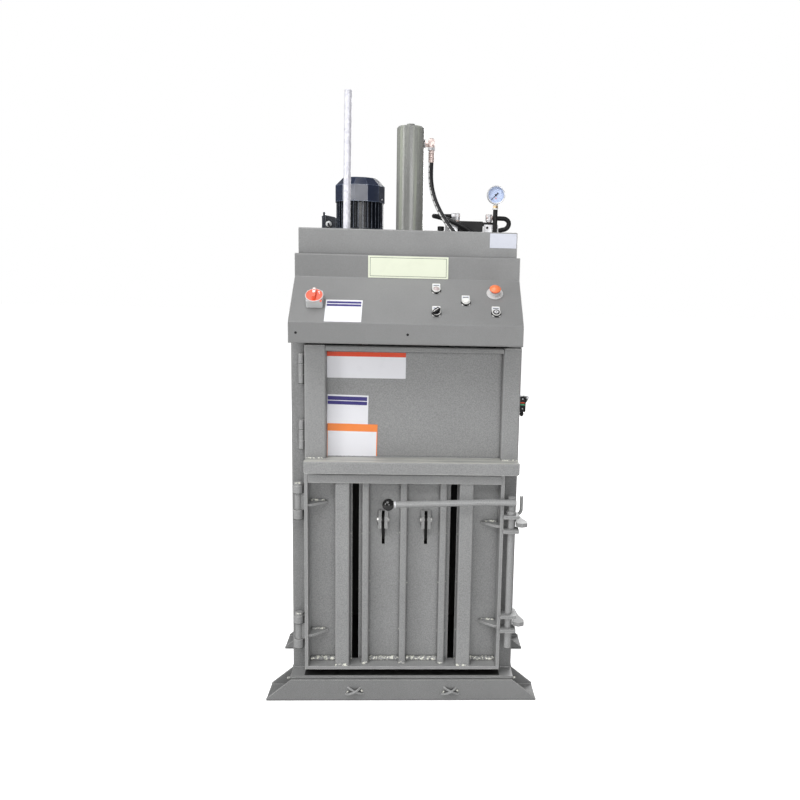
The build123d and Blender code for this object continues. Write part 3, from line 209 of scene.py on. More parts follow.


# flat enamel over steel: slow tone changes, fine grain, pale edges that are partly wear and partly painted
# highlight, painted shade in the corners
def enamel(
    name, colour, roughness=0.42, wearAndHighlight=0.75, edge=(0.7, 0.7, 0.68),
    streaks=0.0, grain=0.6, dirtAndCornerShade=0.75, paleTops=0.0, chamberShade=False,
):
    material, tree, shader, place = startMaterial(name)
    slow = noise(tree, place, 3.1, 3.0)
    body = ramp(tree, slow, [(0.3, toned(colour, 0.94)), (0.7, toned(colour, 1.06))])
    grit = noise(tree, place, 420, 2.0)
    body = mix(tree, body, ramp(tree, grit, [(0.36, 0.34), (0.64, 0.66)]), grain, "OVERLAY")
    if streaks:
        runs = noise(tree, place, 9, 3.0, 0.6, (4, 4, 0.12))
        pale = tuple(part * lift for part, lift in zip(colour, (1.8, 1.92, 1.6)))
        body = mix(tree, body, pale, ramp(tree, runs, [(0.5, 0), (0.68, streaks)]))
        body = mix(tree, body, toned(colour, 0.6), ramp(tree, runs, [(0.3, streaks), (0.45, 0)]))
    # painted shade: the colour goes towards a dark copy of itself where surfaces meet and shade falls
    if dirtAndCornerShade:
        body = mix(tree, toned(colour, 0.16), body, ramp(tree, paintedCornerShade(tree), [(0.3, 1 - dirtAndCornerShade), (0.8, 1)]))
    # painted highlight along the edges, broken up by patches of wear
    if wearAndHighlight:
        edges = edgeMask(tree)
        patchy = noise(tree, place, 22, 3.0)
        chipsAndHighlight = mix(tree, edges, ramp(tree, patchy, [(0.34, 0.3), (0.6, 1)]), 1.0, "MULTIPLY")
        body = mix(tree, body, edge, mix(tree, (0.0, 0.0, 0.0), chipsAndHighlight, wearAndHighlight))
    # upward faces made paler in stretched patches
    if paleTops:
        upward = tree.nodes.new("ShaderNodeSeparateXYZ")
        geometry = tree.nodes.new("ShaderNodeNewGeometry")
        tree.links.new(geometry.outputs["Normal"], upward.inputs["Vector"])
        paleStreaks = ramp(tree, noise(tree, place, 14, 4.0, 0.65, (0.25, 3, 3)), [(0.34, 0.25), (0.6, 1)])
        topFaces = ramp(tree, upward.outputs["Z"], [(0.75, 0), (0.92, paleTops)])
        body = mix(tree, body, (0.62, 0.62, 0.57), mix(tree, topFaces, paleStreaks, 1.0, "MULTIPLY"))
    # painted shade: near black inside the chamber and in the gap under the door, mottled a little
    if chamberShade:
        shadeMottle = noise(tree, place, 12, 4.0, 0.6, (3, 3, 0.3))
        paintedChamberShade = ramp(tree, shadeMottle, [(0.35, (0.006, 0.006, 0.006)), (0.7, (0.03, 0.03, 0.029))])
        body = mix(tree, body, paintedChamberShade, chamberShadeMask(tree, place))
    tree.links.new(body, shader.inputs["Base Color"])
    gloss = ramp(tree, noise(tree, place, 14, 3.0), [(0.3, roughness - 0.06), (0.7, roughness + 0.08)])
    tree.links.new(gloss, shader.inputs["Roughness"])
    bump(tree, shader, grit, 0.08, 0.0004)
    return material


# metal without paint: brushed tone changes and brownish soil
def bareMetal(
    name, colour, roughness=0.3, stretch=(1, 1, 1), scale=60,
    tint=(0.3, 0.28, 0.25), dirtAndCornerShade=0.25, metal=0.85,
):
    material, tree, shader, place = startMaterial(name)
    brushed = noise(tree, place, scale, 4.0, 0.6, stretch)
    body = ramp(tree, brushed, [(0.3, toned(colour, 0.82)), (0.7, toned(colour, 1.12))])
    soil = noise(tree, place, 11, 4.0)
    body = mix(tree, body, tint, ramp(tree, soil, [(0.5, 0), (0.8, dirtAndCornerShade)]))
    tree.links.new(body, shader.inputs["Base Color"])
    shader.inputs["Metallic"].default_value = metal
    gloss = ramp(tree, brushed, [(0.3, roughness), (0.7, roughness + 0.15)])
    tree.links.new(gloss, shader.inputs["Roughness"])
    bump(tree, shader, brushed, 0.12, 0.0004)
    return material


# moulded plastic: fine grain and a little dust
def moulded(name, colour, roughness=0.4, grain=300, depth=0.06, coat=0.0, shine=0.5):
    material, tree, shader, place = startMaterial(name)
    fine = noise(tree, place, grain, 2.0)
    dust = noise(tree, place, 18, 4.0)
    tree.links.new(mix(tree, toned(colour, 0.96), toned(colour, 1.1), dust), shader.inputs["Base Color"])
    gloss = ramp(tree, dust, [(0.3, roughness), (0.7, min(1, roughness + 0.12))])
    tree.links.new(gloss, shader.inputs["Roughness"])
    shader.inputs["Coat Weight"].default_value = coat
    shader.inputs["Specular IOR Level"].default_value = shine
    bump(tree, shader, fine, depth, 0.0003)
    return material


# printed film: an even colour with a faint fibre and soft, dulled patches
def film(name, colour, roughness=0.45):
    material, tree, shader, place = startMaterial(name)
    fibre = noise(tree, place, 900, 2.0)
    handled = noise(tree, place, 24, 4.0)
    body = mix(tree, toned(colour, 0.97), toned(colour, 1.02), fibre)
    body = mix(tree, body, toned(colour, 0.9), ramp(tree, handled, [(0.55, 0), (0.85, 0.5)]))
    tree.links.new(body, shader.inputs["Base Color"])
    gloss = ramp(tree, handled, [(0.3, roughness), (0.7, roughness + 0.2)])
    tree.links.new(gloss, shader.inputs["Roughness"])
    bump(tree, shader, fibre, 0.05, 0.0002)
    return material


# galvanised tube: pale spangle with a few darker specks
def galvanised(name):
    material, tree, shader, place = startMaterial(name)
    cells = tree.nodes.new("ShaderNodeTexVoronoi")
    cells.inputs["Scale"].default_value = 90
    tree.links.new(place, cells.inputs["Vector"])
    body = ramp(tree, cells.outputs["Color"], [(0.2, (0.68, 0.68, 0.74)), (0.8, (0.84, 0.84, 0.9))])
    specks = noise(tree, place, 60, 3.0)
    body = mix(tree, body, (0.5, 0.5, 0.56), ramp(tree, specks, [(0.6, 0), (0.75, 0.5)]))
    tree.links.new(body, shader.inputs["Base Color"])
    shader.inputs["Metallic"].default_value = 0.2
    shader.inputs["Roughness"].default_value = 0.45
    bump(tree, shader, specks, 0.1, 0.0004)
    return material


# weld metal: pale spatter through the paint
def weldMetal(name, paint, bare, share):
    material, tree, shader, place = startMaterial(name)
    spatter = noise(tree, place, 95, 3.0, 0.7)
    body = mix(tree, paint, bare, ramp(tree, spatter, [(0.62 - share, 0), (0.68 - share, 1)]))
    ripple = noise(tree, place, 420, 3.0)
    body = mix(tree, body, toned(paint, 0.35), ramp(tree, ripple, [(0.3, 0.7), (0.45, 0)]))
    tree.links.new(body, shader.inputs["Base Color"])
    shader.inputs["Metallic"].default_value = 0.15
    tree.links.new(ramp(tree, ripple, [(0.3, 0.25), (0.7, 0.5)]), shader.inputs["Roughness"])
    bump(tree, shader, ripple, 0.5, 0.001)
    return material


grey = (0.285, 0.287, 0.287)
materials = {
    "greyPaint": enamel("greyPaint", grey),
    "consolePaint": enamel("consolePaint", toned(grey, 0.77), 0.42, grain=0.18),
    # the walls' grey, with painted shade inside the chamber and under the door
    "wallPaintAndChamberShade": enamel("wallPaintAndChamberShade", toned(grey, 0.88), grain=0.25, chamberShade=True),
    # the grey darkened for the posts and feet: painted shade
    "postPaintDarkenedForShade": enamel("postPaintDarkenedForShade", toned(grey, 0.76), 0.5),
    "lipPaint": enamel("lipPaint", grey, paleTops=0.9),
    "leverPaint": enamel("leverPaint", toned(grey, 1.15), 0.2, dirtAndCornerShade=0.4),
    "barrelPaint": enamel("barrelPaint", (0.25, 0.253, 0.243), 0.22, 0.3, streaks=0.75),
    "deckPaint": enamel("deckPaint", (0.27, 0.27, 0.265), 0.5, 0.3),
    "steelWorn": bareMetal("steelWorn", (0.66, 0.66, 0.64), 0.25),
    "steelPlaten": bareMetal("steelPlaten", (0.2, 0.2, 0.195), 0.45, (1, 6, 6), 30, dirtAndCornerShade=0.4, metal=0.4),
    "steelDark": bareMetal("steelDark", (0.02, 0.02, 0.02), 0.4, dirtAndCornerShade=0.05),
    "steelPlated": bareMetal("steelPlated", (0.62, 0.62, 0.6), 0.12, (1, 1, 8), 90, dirtAndCornerShade=0.0),
    "steelPale": bareMetal("steelPale", (0.74, 0.74, 0.76), 0.3, scale=160, dirtAndCornerShade=0.1, metal=0.5),
    "pinkPlate": bareMetal(
        "pinkPlate", (0.78, 0.64, 0.6), 0.3, scale=120, tint=(0.42, 0.34, 0.3), dirtAndCornerShade=0.35, metal=0.5,
    ),
    "brass": bareMetal("brass", (0.72, 0.52, 0.3), 0.3, scale=140, dirtAndCornerShade=0.2),
    "zinc": galvanised("zinc"),
    "weldSpatter": weldMetal("weldSpatter", grey, (0.85, 0.85, 0.76), 0.13),
    "weldPainted": weldMetal("weldPainted", grey, (0.7, 0.7, 0.64), -0.06),
    # the motor's and cowl's bluish edge colours: painted highlight along their edges, with wear
    "motorPaint": enamel("motorPaint", (0.01, 0.013, 0.02), 0.22, 0.7, (0.3, 0.33, 0.4)),
    "cowlPlastic": enamel("cowlPlastic", (0.016, 0.024, 0.052), 0.16, 0.6, (0.45, 0.55, 0.75)),
    "blackPlastic": moulded("blackPlastic", (0.008, 0.008, 0.009), 0.4, shine=0.3),
    "bezelSatin": bareMetal("bezelSatin", (0.78, 0.78, 0.76), 0.35, scale=260, dirtAndCornerShade=0.04, metal=0.35),
    "palePlastic": moulded("palePlastic", (0.58, 0.59, 0.59), 0.35, coat=0.2),
    "lensPlastic": moulded("lensPlastic", (0.5, 0.42, 0.42), 0.15, coat=0.5),
    "whitePlastic": moulded("whitePlastic", (0.8, 0.8, 0.78), 0.25, coat=0.4),
    "redPlastic": moulded("redPlastic", (0.86, 0.11, 0.045), 0.28, coat=0.3),
    "orangePlastic": moulded("orangePlastic", (0.9, 0.22, 0.08), 0.3, coat=0.3),
    "greenPlastic": moulded("greenPlastic", (0.05, 0.4, 0.18), 0.35),
    "knobPhenolic": moulded("knobPhenolic", (0.003, 0.003, 0.003), 0.1, 500, 0.01, 0.4),
    "gaugeEnamel": moulded("gaugeEnamel", (0.5, 0.56, 0.68), 0.3, coat=0.3),
    "dialPrint": film("dialPrint", (0.52, 0.62, 0.86), 0.3),
    "needlePaint": moulded("needlePaint", (0.01, 0.01, 0.012), 0.5),
    "filmWhite": film("filmWhite", (0.86, 0.86, 0.9)),
    "filmCream": film("filmCream", (0.8, 0.84, 0.68)),
    "filmPale": film("filmPale", (0.66, 0.68, 0.76)),
    "filmRed": film("filmRed", (0.76, 0.07, 0.02)),
    "filmOrange": film("filmOrange", (0.95, 0.27, 0.06)),
    "filmBlue": film("filmBlue", (0.045, 0.035, 0.2)),
    "filmLine": film("filmLine", (0.05, 0.06, 0.045)),
}
finish = {
    "greyPaint": "wall_channels cylinder_mount post_knuckles hinge_pins hook_plates strap_cleats "
    "upper_door_frame upper_door_panel upper_door_knuckles "
    "lower_door_frame lower_door_panels lower_door_knuckles door_ribs door_brackets clevis_plates",
    "wallPaintAndChamberShade": "side_walls rear_wall head_panels base_plate",
    "steelPlaten": "platen",
    "consolePaint": "console",
    "lipPaint": "door_lip",
    "postPaintDarkenedForShade": "corner_posts feet",
    "leverPaint": "latch_lever latch_shaft",
    "deckPaint": "deck_plate oil_tank",
    "barrelPaint": "cylinder_barrel",
    "steelWorn": "claw_bolts",
    "steelDark": "left_claw right_claw rotor_shaft",
    "steelPlated": "piston_rod",
    "pinkPlate": "hose_fittings",
    "steelPale": "limit_lever",
    "zinc": "conduit_pipe",
    "motorPaint": "motor_body terminal_box",
    "cowlPlastic": "motor_cowl",
    "blackPlastic": "cooling_fan valve_block filler_cap limit_switch gauge_pipe gauge_stem "
    "selector_knob key_barrel",
    "bezelSatin": "device_bezels",
    "palePlastic": "device_plates",
    "lensPlastic": "lamp_lens",
    "whitePlastic": "push_button",
    "redPlastic": "isolator_handle",
    "orangePlastic": "stop_mushroom",
    "knobPhenolic": "lever_knob",
    "gaugeEnamel": "gauge_case",
    "needlePaint": "gauge_needle",
}
for materialName, members in finish.items():
    for member in members.split():
        node = nodes[member]
        node.data.materials.clear()
        node.data.materials.append(materials[materialName])
print("materials assigned")


# pale dashes on the hose's side that faces left and forward, one for each pitch of height
hoseMarks = {"facing": (-0.8, -0.6, 0), "band": (0.93, 0.95), "gap": (0.3, 0.36), "colour": (0.75, 0.75, 0.74)}


def hoseMaterial(name, dashPitch):
    material, tree, shader, place = startMaterial(name)
    shader.inputs["Roughness"].default_value = 0.42
    shader.inputs["Specular IOR Level"].default_value = 0.3
    cloth = noise(tree, place, 420, 2.0)
    body = ramp(tree, cloth, [(0.3, (0.004, 0.004, 0.005)), (0.7, (0.014, 0.014, 0.016))])
    if dashPitch:
        split = tree.nodes.new("ShaderNodeSeparateXYZ")
        tree.links.new(place, split.inputs["Vector"])
        wave = tree.nodes.new("ShaderNodeMath")
        wave.operation = "PINGPONG"
        wave.inputs[1].default_value = dashPitch
        tree.links.new(split.outputs["Z"], wave.inputs[0])
        gapEnd, dashStart = (dashPitch * share for share in hoseMarks["gap"])
        along = ramp(tree, wave.outputs["Value"], [(gapEnd, 0), (dashStart, 1)])
        side = tree.nodes.new("ShaderNodeVectorMath")
        side.operation = "DOT_PRODUCT"
        side.inputs[1].default_value = hoseMarks["facing"]
        geometry = tree.nodes.new("ShaderNodeNewGeometry")
        tree.links.new(geometry.outputs["Normal"], side.inputs[0])
        band = ramp(tree, side.outputs["Value"], list(zip(hoseMarks["band"], (0, 1))))
        broken = ramp(tree, noise(tree, place, 120, 2.0), [(0.36, 0), (0.42, 1)])
        marks = mix(tree, mix(tree, along, band, 1.0, "MULTIPLY"), broken, 1.0, "MULTIPLY")
        body = mix(tree, body, hoseMarks["colour"], marks)
    tree.links.new(body, shader.inputs["Base Color"])
    bump(tree, shader, cloth, 0.25, 0.0005)
    return material


# motor on the deck, with the terminal box on its left
motor = {
    "x": -201,
    "back": 300,
    "deck": 1796,
    "finRadius": 94.2,
    "boxReach": 58,
    "cowlRadius": 97,
    "cowlBottom": 1928,
    "turn": -8.5,
    "boltCircle": 79,
    "flange": 10,
}
boxLeft = motor["x"] - motor["finRadius"] - motor["boxReach"]

# hoses follow the routes of the solids, as smooth splines
hoses = {
    "mainHose": {
        "node": "main_hose",
        "radius": 9.5,
        "length": 0.33,
        "dashPitch": 0.011,
        "route": [
            (81, 240, 2084), (79, 238, 2033.9), (85, 222, 1984.1), (97, 196, 1937.1),
            (118, 166, 1889.9), (144, 134, 1845), (172, 108, 1806.1),
        ],
    },
    "loopHose": {
        "node": "loop_hose",
        "radius": 9,
        "length": 0.335,
        "dashPitch": 0,
        "route": [
            (172, 344, 1890), (147, 344, 1889), (108, 316, 1887), (93, 270, 1883), (108, 224, 1877),
            (147, 197, 1865), (190, 184, 1847), (228, 176, 1828), (256, 172, 1807),
        ],
    },
    "motorCable": {
        "node": "motor_cable",
        "radius": 4,
        "length": 0.056,
        "dashPitch": 0,
        "route": [
            (boxLeft + 32, 257.6, 1840), (boxLeft + 32, 242, 1839),
            (boxLeft + 40, 228, 1826), (boxLeft + 47, 222, 1808),
        ],
    },
}


def addHose(name, facts):
    curve = bpy.data.curves.new(name, "CURVE")
    curve.dimensions = "3D"
    curve.bevel_depth = facts["radius"] * mm
    curve.bevel_resolution = 8
    curve.resolution_u = 24
    curve.use_fill_caps = True
    spline = curve.splines.new("NURBS")
    spline.points.add(len(facts["route"]) - 1)
    for point, place in zip(spline.points, facts["route"]):
        point.co = (*spot(*place), 1)
    spline.order_u = 3
    spline.use_endpoint_u = True
    hose = bpy.data.objects.new(name, curve)
    bpy.context.scene.collection.objects.link(hose)
    curve.materials.append(hoseMaterial(name + "Rubber", facts["dashPitch"]))
    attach(hose, "frame")
    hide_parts(facts["node"])


for hoseName, hoseFacts in hoses.items():
    addHose(hoseName, hoseFacts)
print("hoses drawn")


# places on faces: x to the right and y upward in the face, z out of it
def onFront(x, back, z, lift=0.0):
    turn = Matrix((Vector((1, 0, 0)), Vector((0, 0, 1)), Vector((0, -1, 0)))).transposed().to_4x4()
    return Matrix.Translation(spot(x, back - lift, z)) @ turn


# the console's slope, from its top edge downward
slope = {"run": 166, "rise": 156.5, "topLevel": 1631, "topBack": -41}


def onSlope(x, down, lift=0.0):
    upward = Vector((0, slope["run"], slope["rise"])).normalized()
    outward = Vector((0, -slope["rise"], slope["run"])).normalized()
    place = spot(x, slope["topBack"], slope["topLevel"]) + (outward * lift - upward * down) * mm
    turn = Matrix((Vector((1, 0, 0)), upward, outward)).transposed().to_4x4()
    return Matrix.Translation(place) @ turn


# z along a direction
def pointing(place, direction):
    return Matrix.Translation(place) @ direction.to_track_quat("Z", "Y").to_matrix().to_4x4()


# z upward
def upright(x, back, z):
    return pointing(spot(x, back, z), Vector((0, 0, 1)))


# moves the new vertices to their place and gives their faces a material
def settle(work, before, placed, index):
    fresh = [vert for vert in work.verts if vert not in before]
    bmesh.ops.transform(work, matrix=placed, verts=fresh)
    for vert in fresh:
        for face in vert.link_faces:
            face.material_index = index


# a thin plate with rounded corners, standing on its place
def plate(work, placed, width, height, thick, corner=0.0, index=0):
    before = set(work.verts)
    sheet = bmesh.ops.create_grid(work, x_segments=1, y_segments=1, size=0.5)
    bmesh.ops.scale(work, vec=(width * mm, height * mm, 1), verts=sheet["verts"])
    if corner:
        bmesh.ops.bevel(
            work, geom=sheet["verts"], offset=corner * mm, offset_type="OFFSET", segments=4,
            profile=0.5, affect="VERTICES", material=-1,
        )
    faces = list({face for vert in work.verts if vert not in before for face in vert.link_faces})
    grown = bmesh.ops.extrude_face_region(work, geom=faces)
    raised = [item for item in grown["geom"] if isinstance(item, bmesh.types.BMVert)]
    bmesh.ops.translate(work, vec=(0, 0, thick * mm), verts=raised)
    settle(work, before, placed, index)


# a block between corners given in mm, with softened edges
def slab(work, xs, backs, zs, soft=0.0, index=0):
    before = set(work.verts)
    low, high = spot(xs[0], backs[0], zs[0]), spot(xs[1], backs[1], zs[1])
    cube = bmesh.ops.create_cube(work, size=1)
    bmesh.ops.scale(work, vec=high - low, verts=cube["verts"])
    bmesh.ops.translate(work, vec=(low + high) / 2, verts=cube["verts"])
    if soft:
        edges = list({edge for vert in cube["verts"] for edge in vert.link_edges})
        bmesh.ops.bevel(
            work, geom=edges, offset=soft * mm, offset_type="OFFSET", segments=2,
            profile=0.5, affect="EDGES", material=-1,
        )
    settle(work, before, Matrix.Identity(4), index)


# a round part: a profile of (radius, height) in mm, spun about the place's z
def turned(work, placed, profile, steps=32, index=0):
    before = set(work.verts)
    points = [work.verts.new((radius * mm, 0, height * mm)) for radius, height in profile]
    edges = [work.edges.new(pair) for pair in zip(points, points[1:])]
    bmesh.ops.spin(
        work, geom=points + edges, cent=(0, 0, 0), axis=(0, 0, 1),
        angle=math.tau, steps=steps, use_merge=True,
    )
    settle(work, before, placed, index)


# a hexagon nut or bolt head with a rounded top
def hexHead(work, placed, across, height, index=0):
    before = set(work.verts)
    corner = across / math.sqrt(3) * mm
    made = bmesh.ops.create_cone(
        work, cap_ends=True, segments=6, radius1=corner, radius2=corner, depth=height * mm,
    )
    bmesh.ops.translate(work, vec=(0, 0, height / 2 * mm), verts=made["verts"])
    edges = {edge for vert in made["verts"] for edge in vert.link_edges}
    top = [edge for edge in edges if all(vert.co.z > height * 0.9 * mm for vert in edge.verts)]
    bmesh.ops.bevel(
        work, geom=top, offset=height * 0.16 * mm, offset_type="OFFSET", segments=2,
        profile=0.5, affect="EDGES", material=-1,
    )
    settle(work, before, placed, index)


# a domed screw head with a round socket
def screwHead(work, placed, radius, height, index=0):
    socket = radius * 0.5
    turned(work, placed, [
        (0, height * 0.35), (socket, height * 0.35), (socket, height * 0.95), (radius * 0.7, height),
        (radius * 0.93, height * 0.7), (radius, height * 0.3), (radius, 0), (0, 0),
    ], 18, index)


# a run of weld metal: a half-sunk, rippled bead
def weldRun(work, start, end, radius, ripple=0.16, pitch=4.5, index=0):
    before = set(work.verts)
    along = end - start
    steps = max(4, int(along.length / (pitch * mm)))
    ring = bmesh.ops.create_circle(work, cap_ends=True, segments=8, radius=radius * mm * 0.5)
    edges = list({edge for vert in ring["verts"] for edge in vert.link_edges})
    wide, rise = 0.5, along.length / steps
    for step in range(steps):
        grown = bmesh.ops.extrude_edge_only(work, edges=edges)
        verts = [item for item in grown["geom"] if isinstance(item, bmesh.types.BMVert)]
        edges = [item for item in grown["geom"] if isinstance(item, bmesh.types.BMEdge) and item.is_boundary]
        wanted = 0.5 if step == steps - 1 else 1 + chance.uniform(-ripple, ripple)
        bmesh.ops.translate(work, vec=(0, 0, rise), verts=verts)
        centre = Matrix.Translation((0, 0, -rise * (step + 1)))
        bmesh.ops.scale(work, vec=(wanted / wide, wanted / wide, 1), space=centre, verts=verts)
        wide = wanted
    bmesh.ops.contextual_create(work, geom=edges)
    settle(work, before, pointing(start, along), index)


# turns a built mesh into a piece that rides on a body
def addPiece(name, work, materialNames, body, smooth=True):
    bmesh.ops.remove_doubles(work, verts=work.verts, dist=0.000005)
    bmesh.ops.holes_fill(work, edges=work.edges, sides=0)
    bmesh.ops.recalc_face_normals(work, faces=work.faces)
    mesh = bpy.data.meshes.new(name)
    work.to_mesh(mesh)
    work.free()
    if smooth:
        mesh.shade_smooth()
        mesh.set_sharp_from_angle(angle=math.radians(32))
    for materialName in materialNames:
        mesh.materials.append(materials[materialName])
    piece = bpy.data.objects.new(name, mesh)
    bpy.context.scene.collection.objects.link(piece)
    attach(piece, body)
    return piece


# bare plates and sheets: a field, then bands on it as (x, y, width, height, material)
sheets = {
    "frontPlate": {
        "body": "frame", "slot": "grey_plastic", "place": onFront(1, -41, 1671.5),
        "size": (292, 79), "thick": 1.6, "corner": 1.5, "field": "filmCream",
        "bands": [
            (0, 33, 278, 1.4, "filmLine"), (0, -33, 278, 1.4, "filmLine"),
            (-138.5, 0, 1.4, 67, "filmLine"), (138.5, 0, 1.4, 67, "filmLine"),
        ],
    },
    "headPlate": {
        "body": "frame", "slot": "grey_plastic", "place": onFront(349.5, 0, 1777),
        "size": (99, 53), "thick": 1.0, "corner": 1.0, "field": "filmPale",
        "bands": [],
    },
    "slopeSheet": {
        "body": "frame", "slot": "white_plastic", "place": onSlope(-222.3, 170.7),
        "size": (129, 107), "thick": 0.5, "corner": 2.0, "field": "filmWhite",
        "bands": [(0, 41, 121, 10, "filmBlue"), (0, 27, 121, 10, "filmBlue")],
    },
    "redBandSheet": {
        "body": "upper_door", "slot": "white_plastic", "place": onFront(-150.8, -5, 1307),
        "size": (294, 98), "thick": 0.5, "corner": 1.0, "field": "filmWhite",
        "bands": [(0, 40.5, 294, 17, "filmRed")],
    },
    "blueBandSheet": {
        "body": "upper_door", "slot": "white_plastic",
        "place": onFront(-220.5, -5, 1137.5) @ Matrix.Rotation(-0.02, 4, "Z"),
        "size": (154, 112), "thick": 0.5, "corner": 1.0, "field": "filmWhite",
        "bands": [(-2, 42.5, 148, 15, "filmBlue"), (-2, 25.5, 148, 13.5, "filmBlue")],
    },
    "orangeBandSheet": {
        "body": "upper_door", "slot": "white_plastic",
        "place": onFront(-203, -5, 1018, 0.6) @ Matrix.Rotation(-0.015, 4, "Z"),
        "size": (189, 130), "thick": 0.5, "corner": 1.0, "field": "filmOrange",
        "bands": [(-1, -13, 184, 99, "filmWhite")],
    },
}


def addSheet(name, facts):
    work = bmesh.new()
    names = [facts["field"]]
    plate(work, facts["place"], *facts["size"], facts["thick"], facts["corner"])
    for x, y, width, height, colour in facts["bands"]:
        if colour not in names:
            names.append(colour)
        place = facts["place"] @ Matrix.Translation((x * mm, y * mm, facts["thick"] * mm))
        plate(work, place, width, height, 0.15, 0.3, names.index(colour))
    addPiece(name, work, names, facts["body"], smooth=False)


for sheetName, sheetFacts in sheets.items():
    addSheet(sheetName, sheetFacts)
print("plates and sheets placed")


# control panel: places on the slope as (x, down), with each device's heights above it
devices = {
    "round": {"lamp": (103.5, 59), "selector": (103.5, 174), "button": (209, 117), "key": (315, 170)},
    "bore": 14.6,
    "skirt": {"radius": 15.6, "height": 6.5, "shadowRing": 17.4},
    "legend": {"rise": 24.5, "size": (24, 11), "bar": (20, 3.2)},
    "stop": {"place": (315, 68), "plateTop": 2.0, "rim": 18.4},
    "lensTop": 9.0,
    "keyTop": 10.05,
    "leverTop": 20.4,
    "isolator": {"place": (-325, 129), "top": 33.4, "baseTop": 27.4},
}


# black skirts of the round devices with a black ring of painted shadow at their foot, legend plates, lens ring,
# stop's rings, the stop's red rim of painted shade, key face, lever mark
def addDevices():
    skirts = bmesh.new()
    legends = bmesh.new()
    skirt, legend, bore = devices["skirt"], devices["legend"], devices["bore"]
    radius, height, shadowRing = skirt["radius"], skirt["height"], skirt["shadowRing"]
    for x, down in devices["round"].values():
        # black ring at each device's foot: painted shadow round the bezel
        turned(skirts, onSlope(x, down, 0.02), [
            (bore, 0), (shadowRing, 0), (shadowRing, 0.9), (bore, 0.9), (bore, 0),
        ], 40)
        turned(skirts, onSlope(x, down, 0.05), [
            (radius, 0), (radius, height - 0.8), (radius - 0.5, height), (bore, height), (bore, 0), (radius, 0),
        ], 40)
        plate(legends, onSlope(x, down - legend["rise"], 1.5), *legend["size"], 0.5, 1.5)
        plate(legends, onSlope(x, down - legend["rise"], 2.0), *legend["bar"], 0.2, 0.5, 1)
    addPiece("deviceSkirtsAndShadows", skirts, ["blackPlastic"], "frame")
    addPiece("legendPlates", legends, ["filmPale", "filmLine"], "frame", smooth=False)

    lens = bmesh.new()
    turned(lens, onSlope(*devices["round"]["lamp"], devices["lensTop"]), [
        (12.6, 0.2), (12.4, 1.4), (11.6, 1.9), (10.8, 1.6), (10.6, 0.2), (12.6, 0.2),
    ], 40)
    addPiece("lensRing", lens, ["bezelSatin"], "frame")

    stop = bmesh.new()
    stopFace = onSlope(*devices["stop"]["place"], devices["stop"]["plateTop"])
    turned(stop, stopFace, [(28.5, 0), (28.5, 0.5), (27.9, 0.8), (27.3, 0.5), (27.3, 0), (28.5, 0)], 48)
    turned(stop, stopFace, [(17, 0), (17, 1.6), (16.4, 2.2), (15.1, 2.2), (15.1, 0), (17, 0)], 40)
    addPiece("stopPlateRings", stop, ["palePlastic"], "frame")

    # red band round the orange mushroom's side: painted shade on its side
    grip = bmesh.new()
    gripPlace = onSlope(*devices["stop"]["place"], devices["stop"]["rim"])
    turned(grip, gripPlace, [(19.9, 3.2), (20.4, 3.6), (20.4, 5.4), (19.9, 5.8), (19.9, 3.2)], 48)
    addPiece("stopRimShade", grip, ["redPlastic"], "stop_mushroom")

    key = bmesh.new()
    keyPlace = onSlope(*devices["round"]["key"], devices["keyTop"])
    turned(key, keyPlace, [
        (0, 0), (0, 0.5), (2.8, 0.5), (3.2, 0.9), (7.4, 0.9), (7.8, 0.5), (7.8, 0), (0, 0),
    ], 36)
    keyhole = keyPlace @ Matrix.Rotation(math.radians(60), 4, "Z") @ Matrix.Translation((0, 0, 0.9 * mm))
    plate(key, keyhole, 9, 2, 0.12, 0.8, 1)
    turned(key, keyPlace, [(8.2, 0), (8.2, 1), (9.8, 1), (9.8, 0), (8.2, 0)], 36, 1)
    addPiece("keyFace", key, ["steelPale", "blackPlastic"], "key_barrel")

    lever = bmesh.new()
    leverPlace = onSlope(*devices["round"]["selector"], devices["leverTop"])
    leverPlace = leverPlace @ Matrix.Rotation(math.radians(225), 4, "Z") @ Matrix.Translation((3 * mm, 0, 0))
    plate(lever, leverPlace, 25, 2.2, 0.25, 0.8)
    addPiece("selectorMark", lever, ["whitePlastic"], "selector_knob")


addDevices()


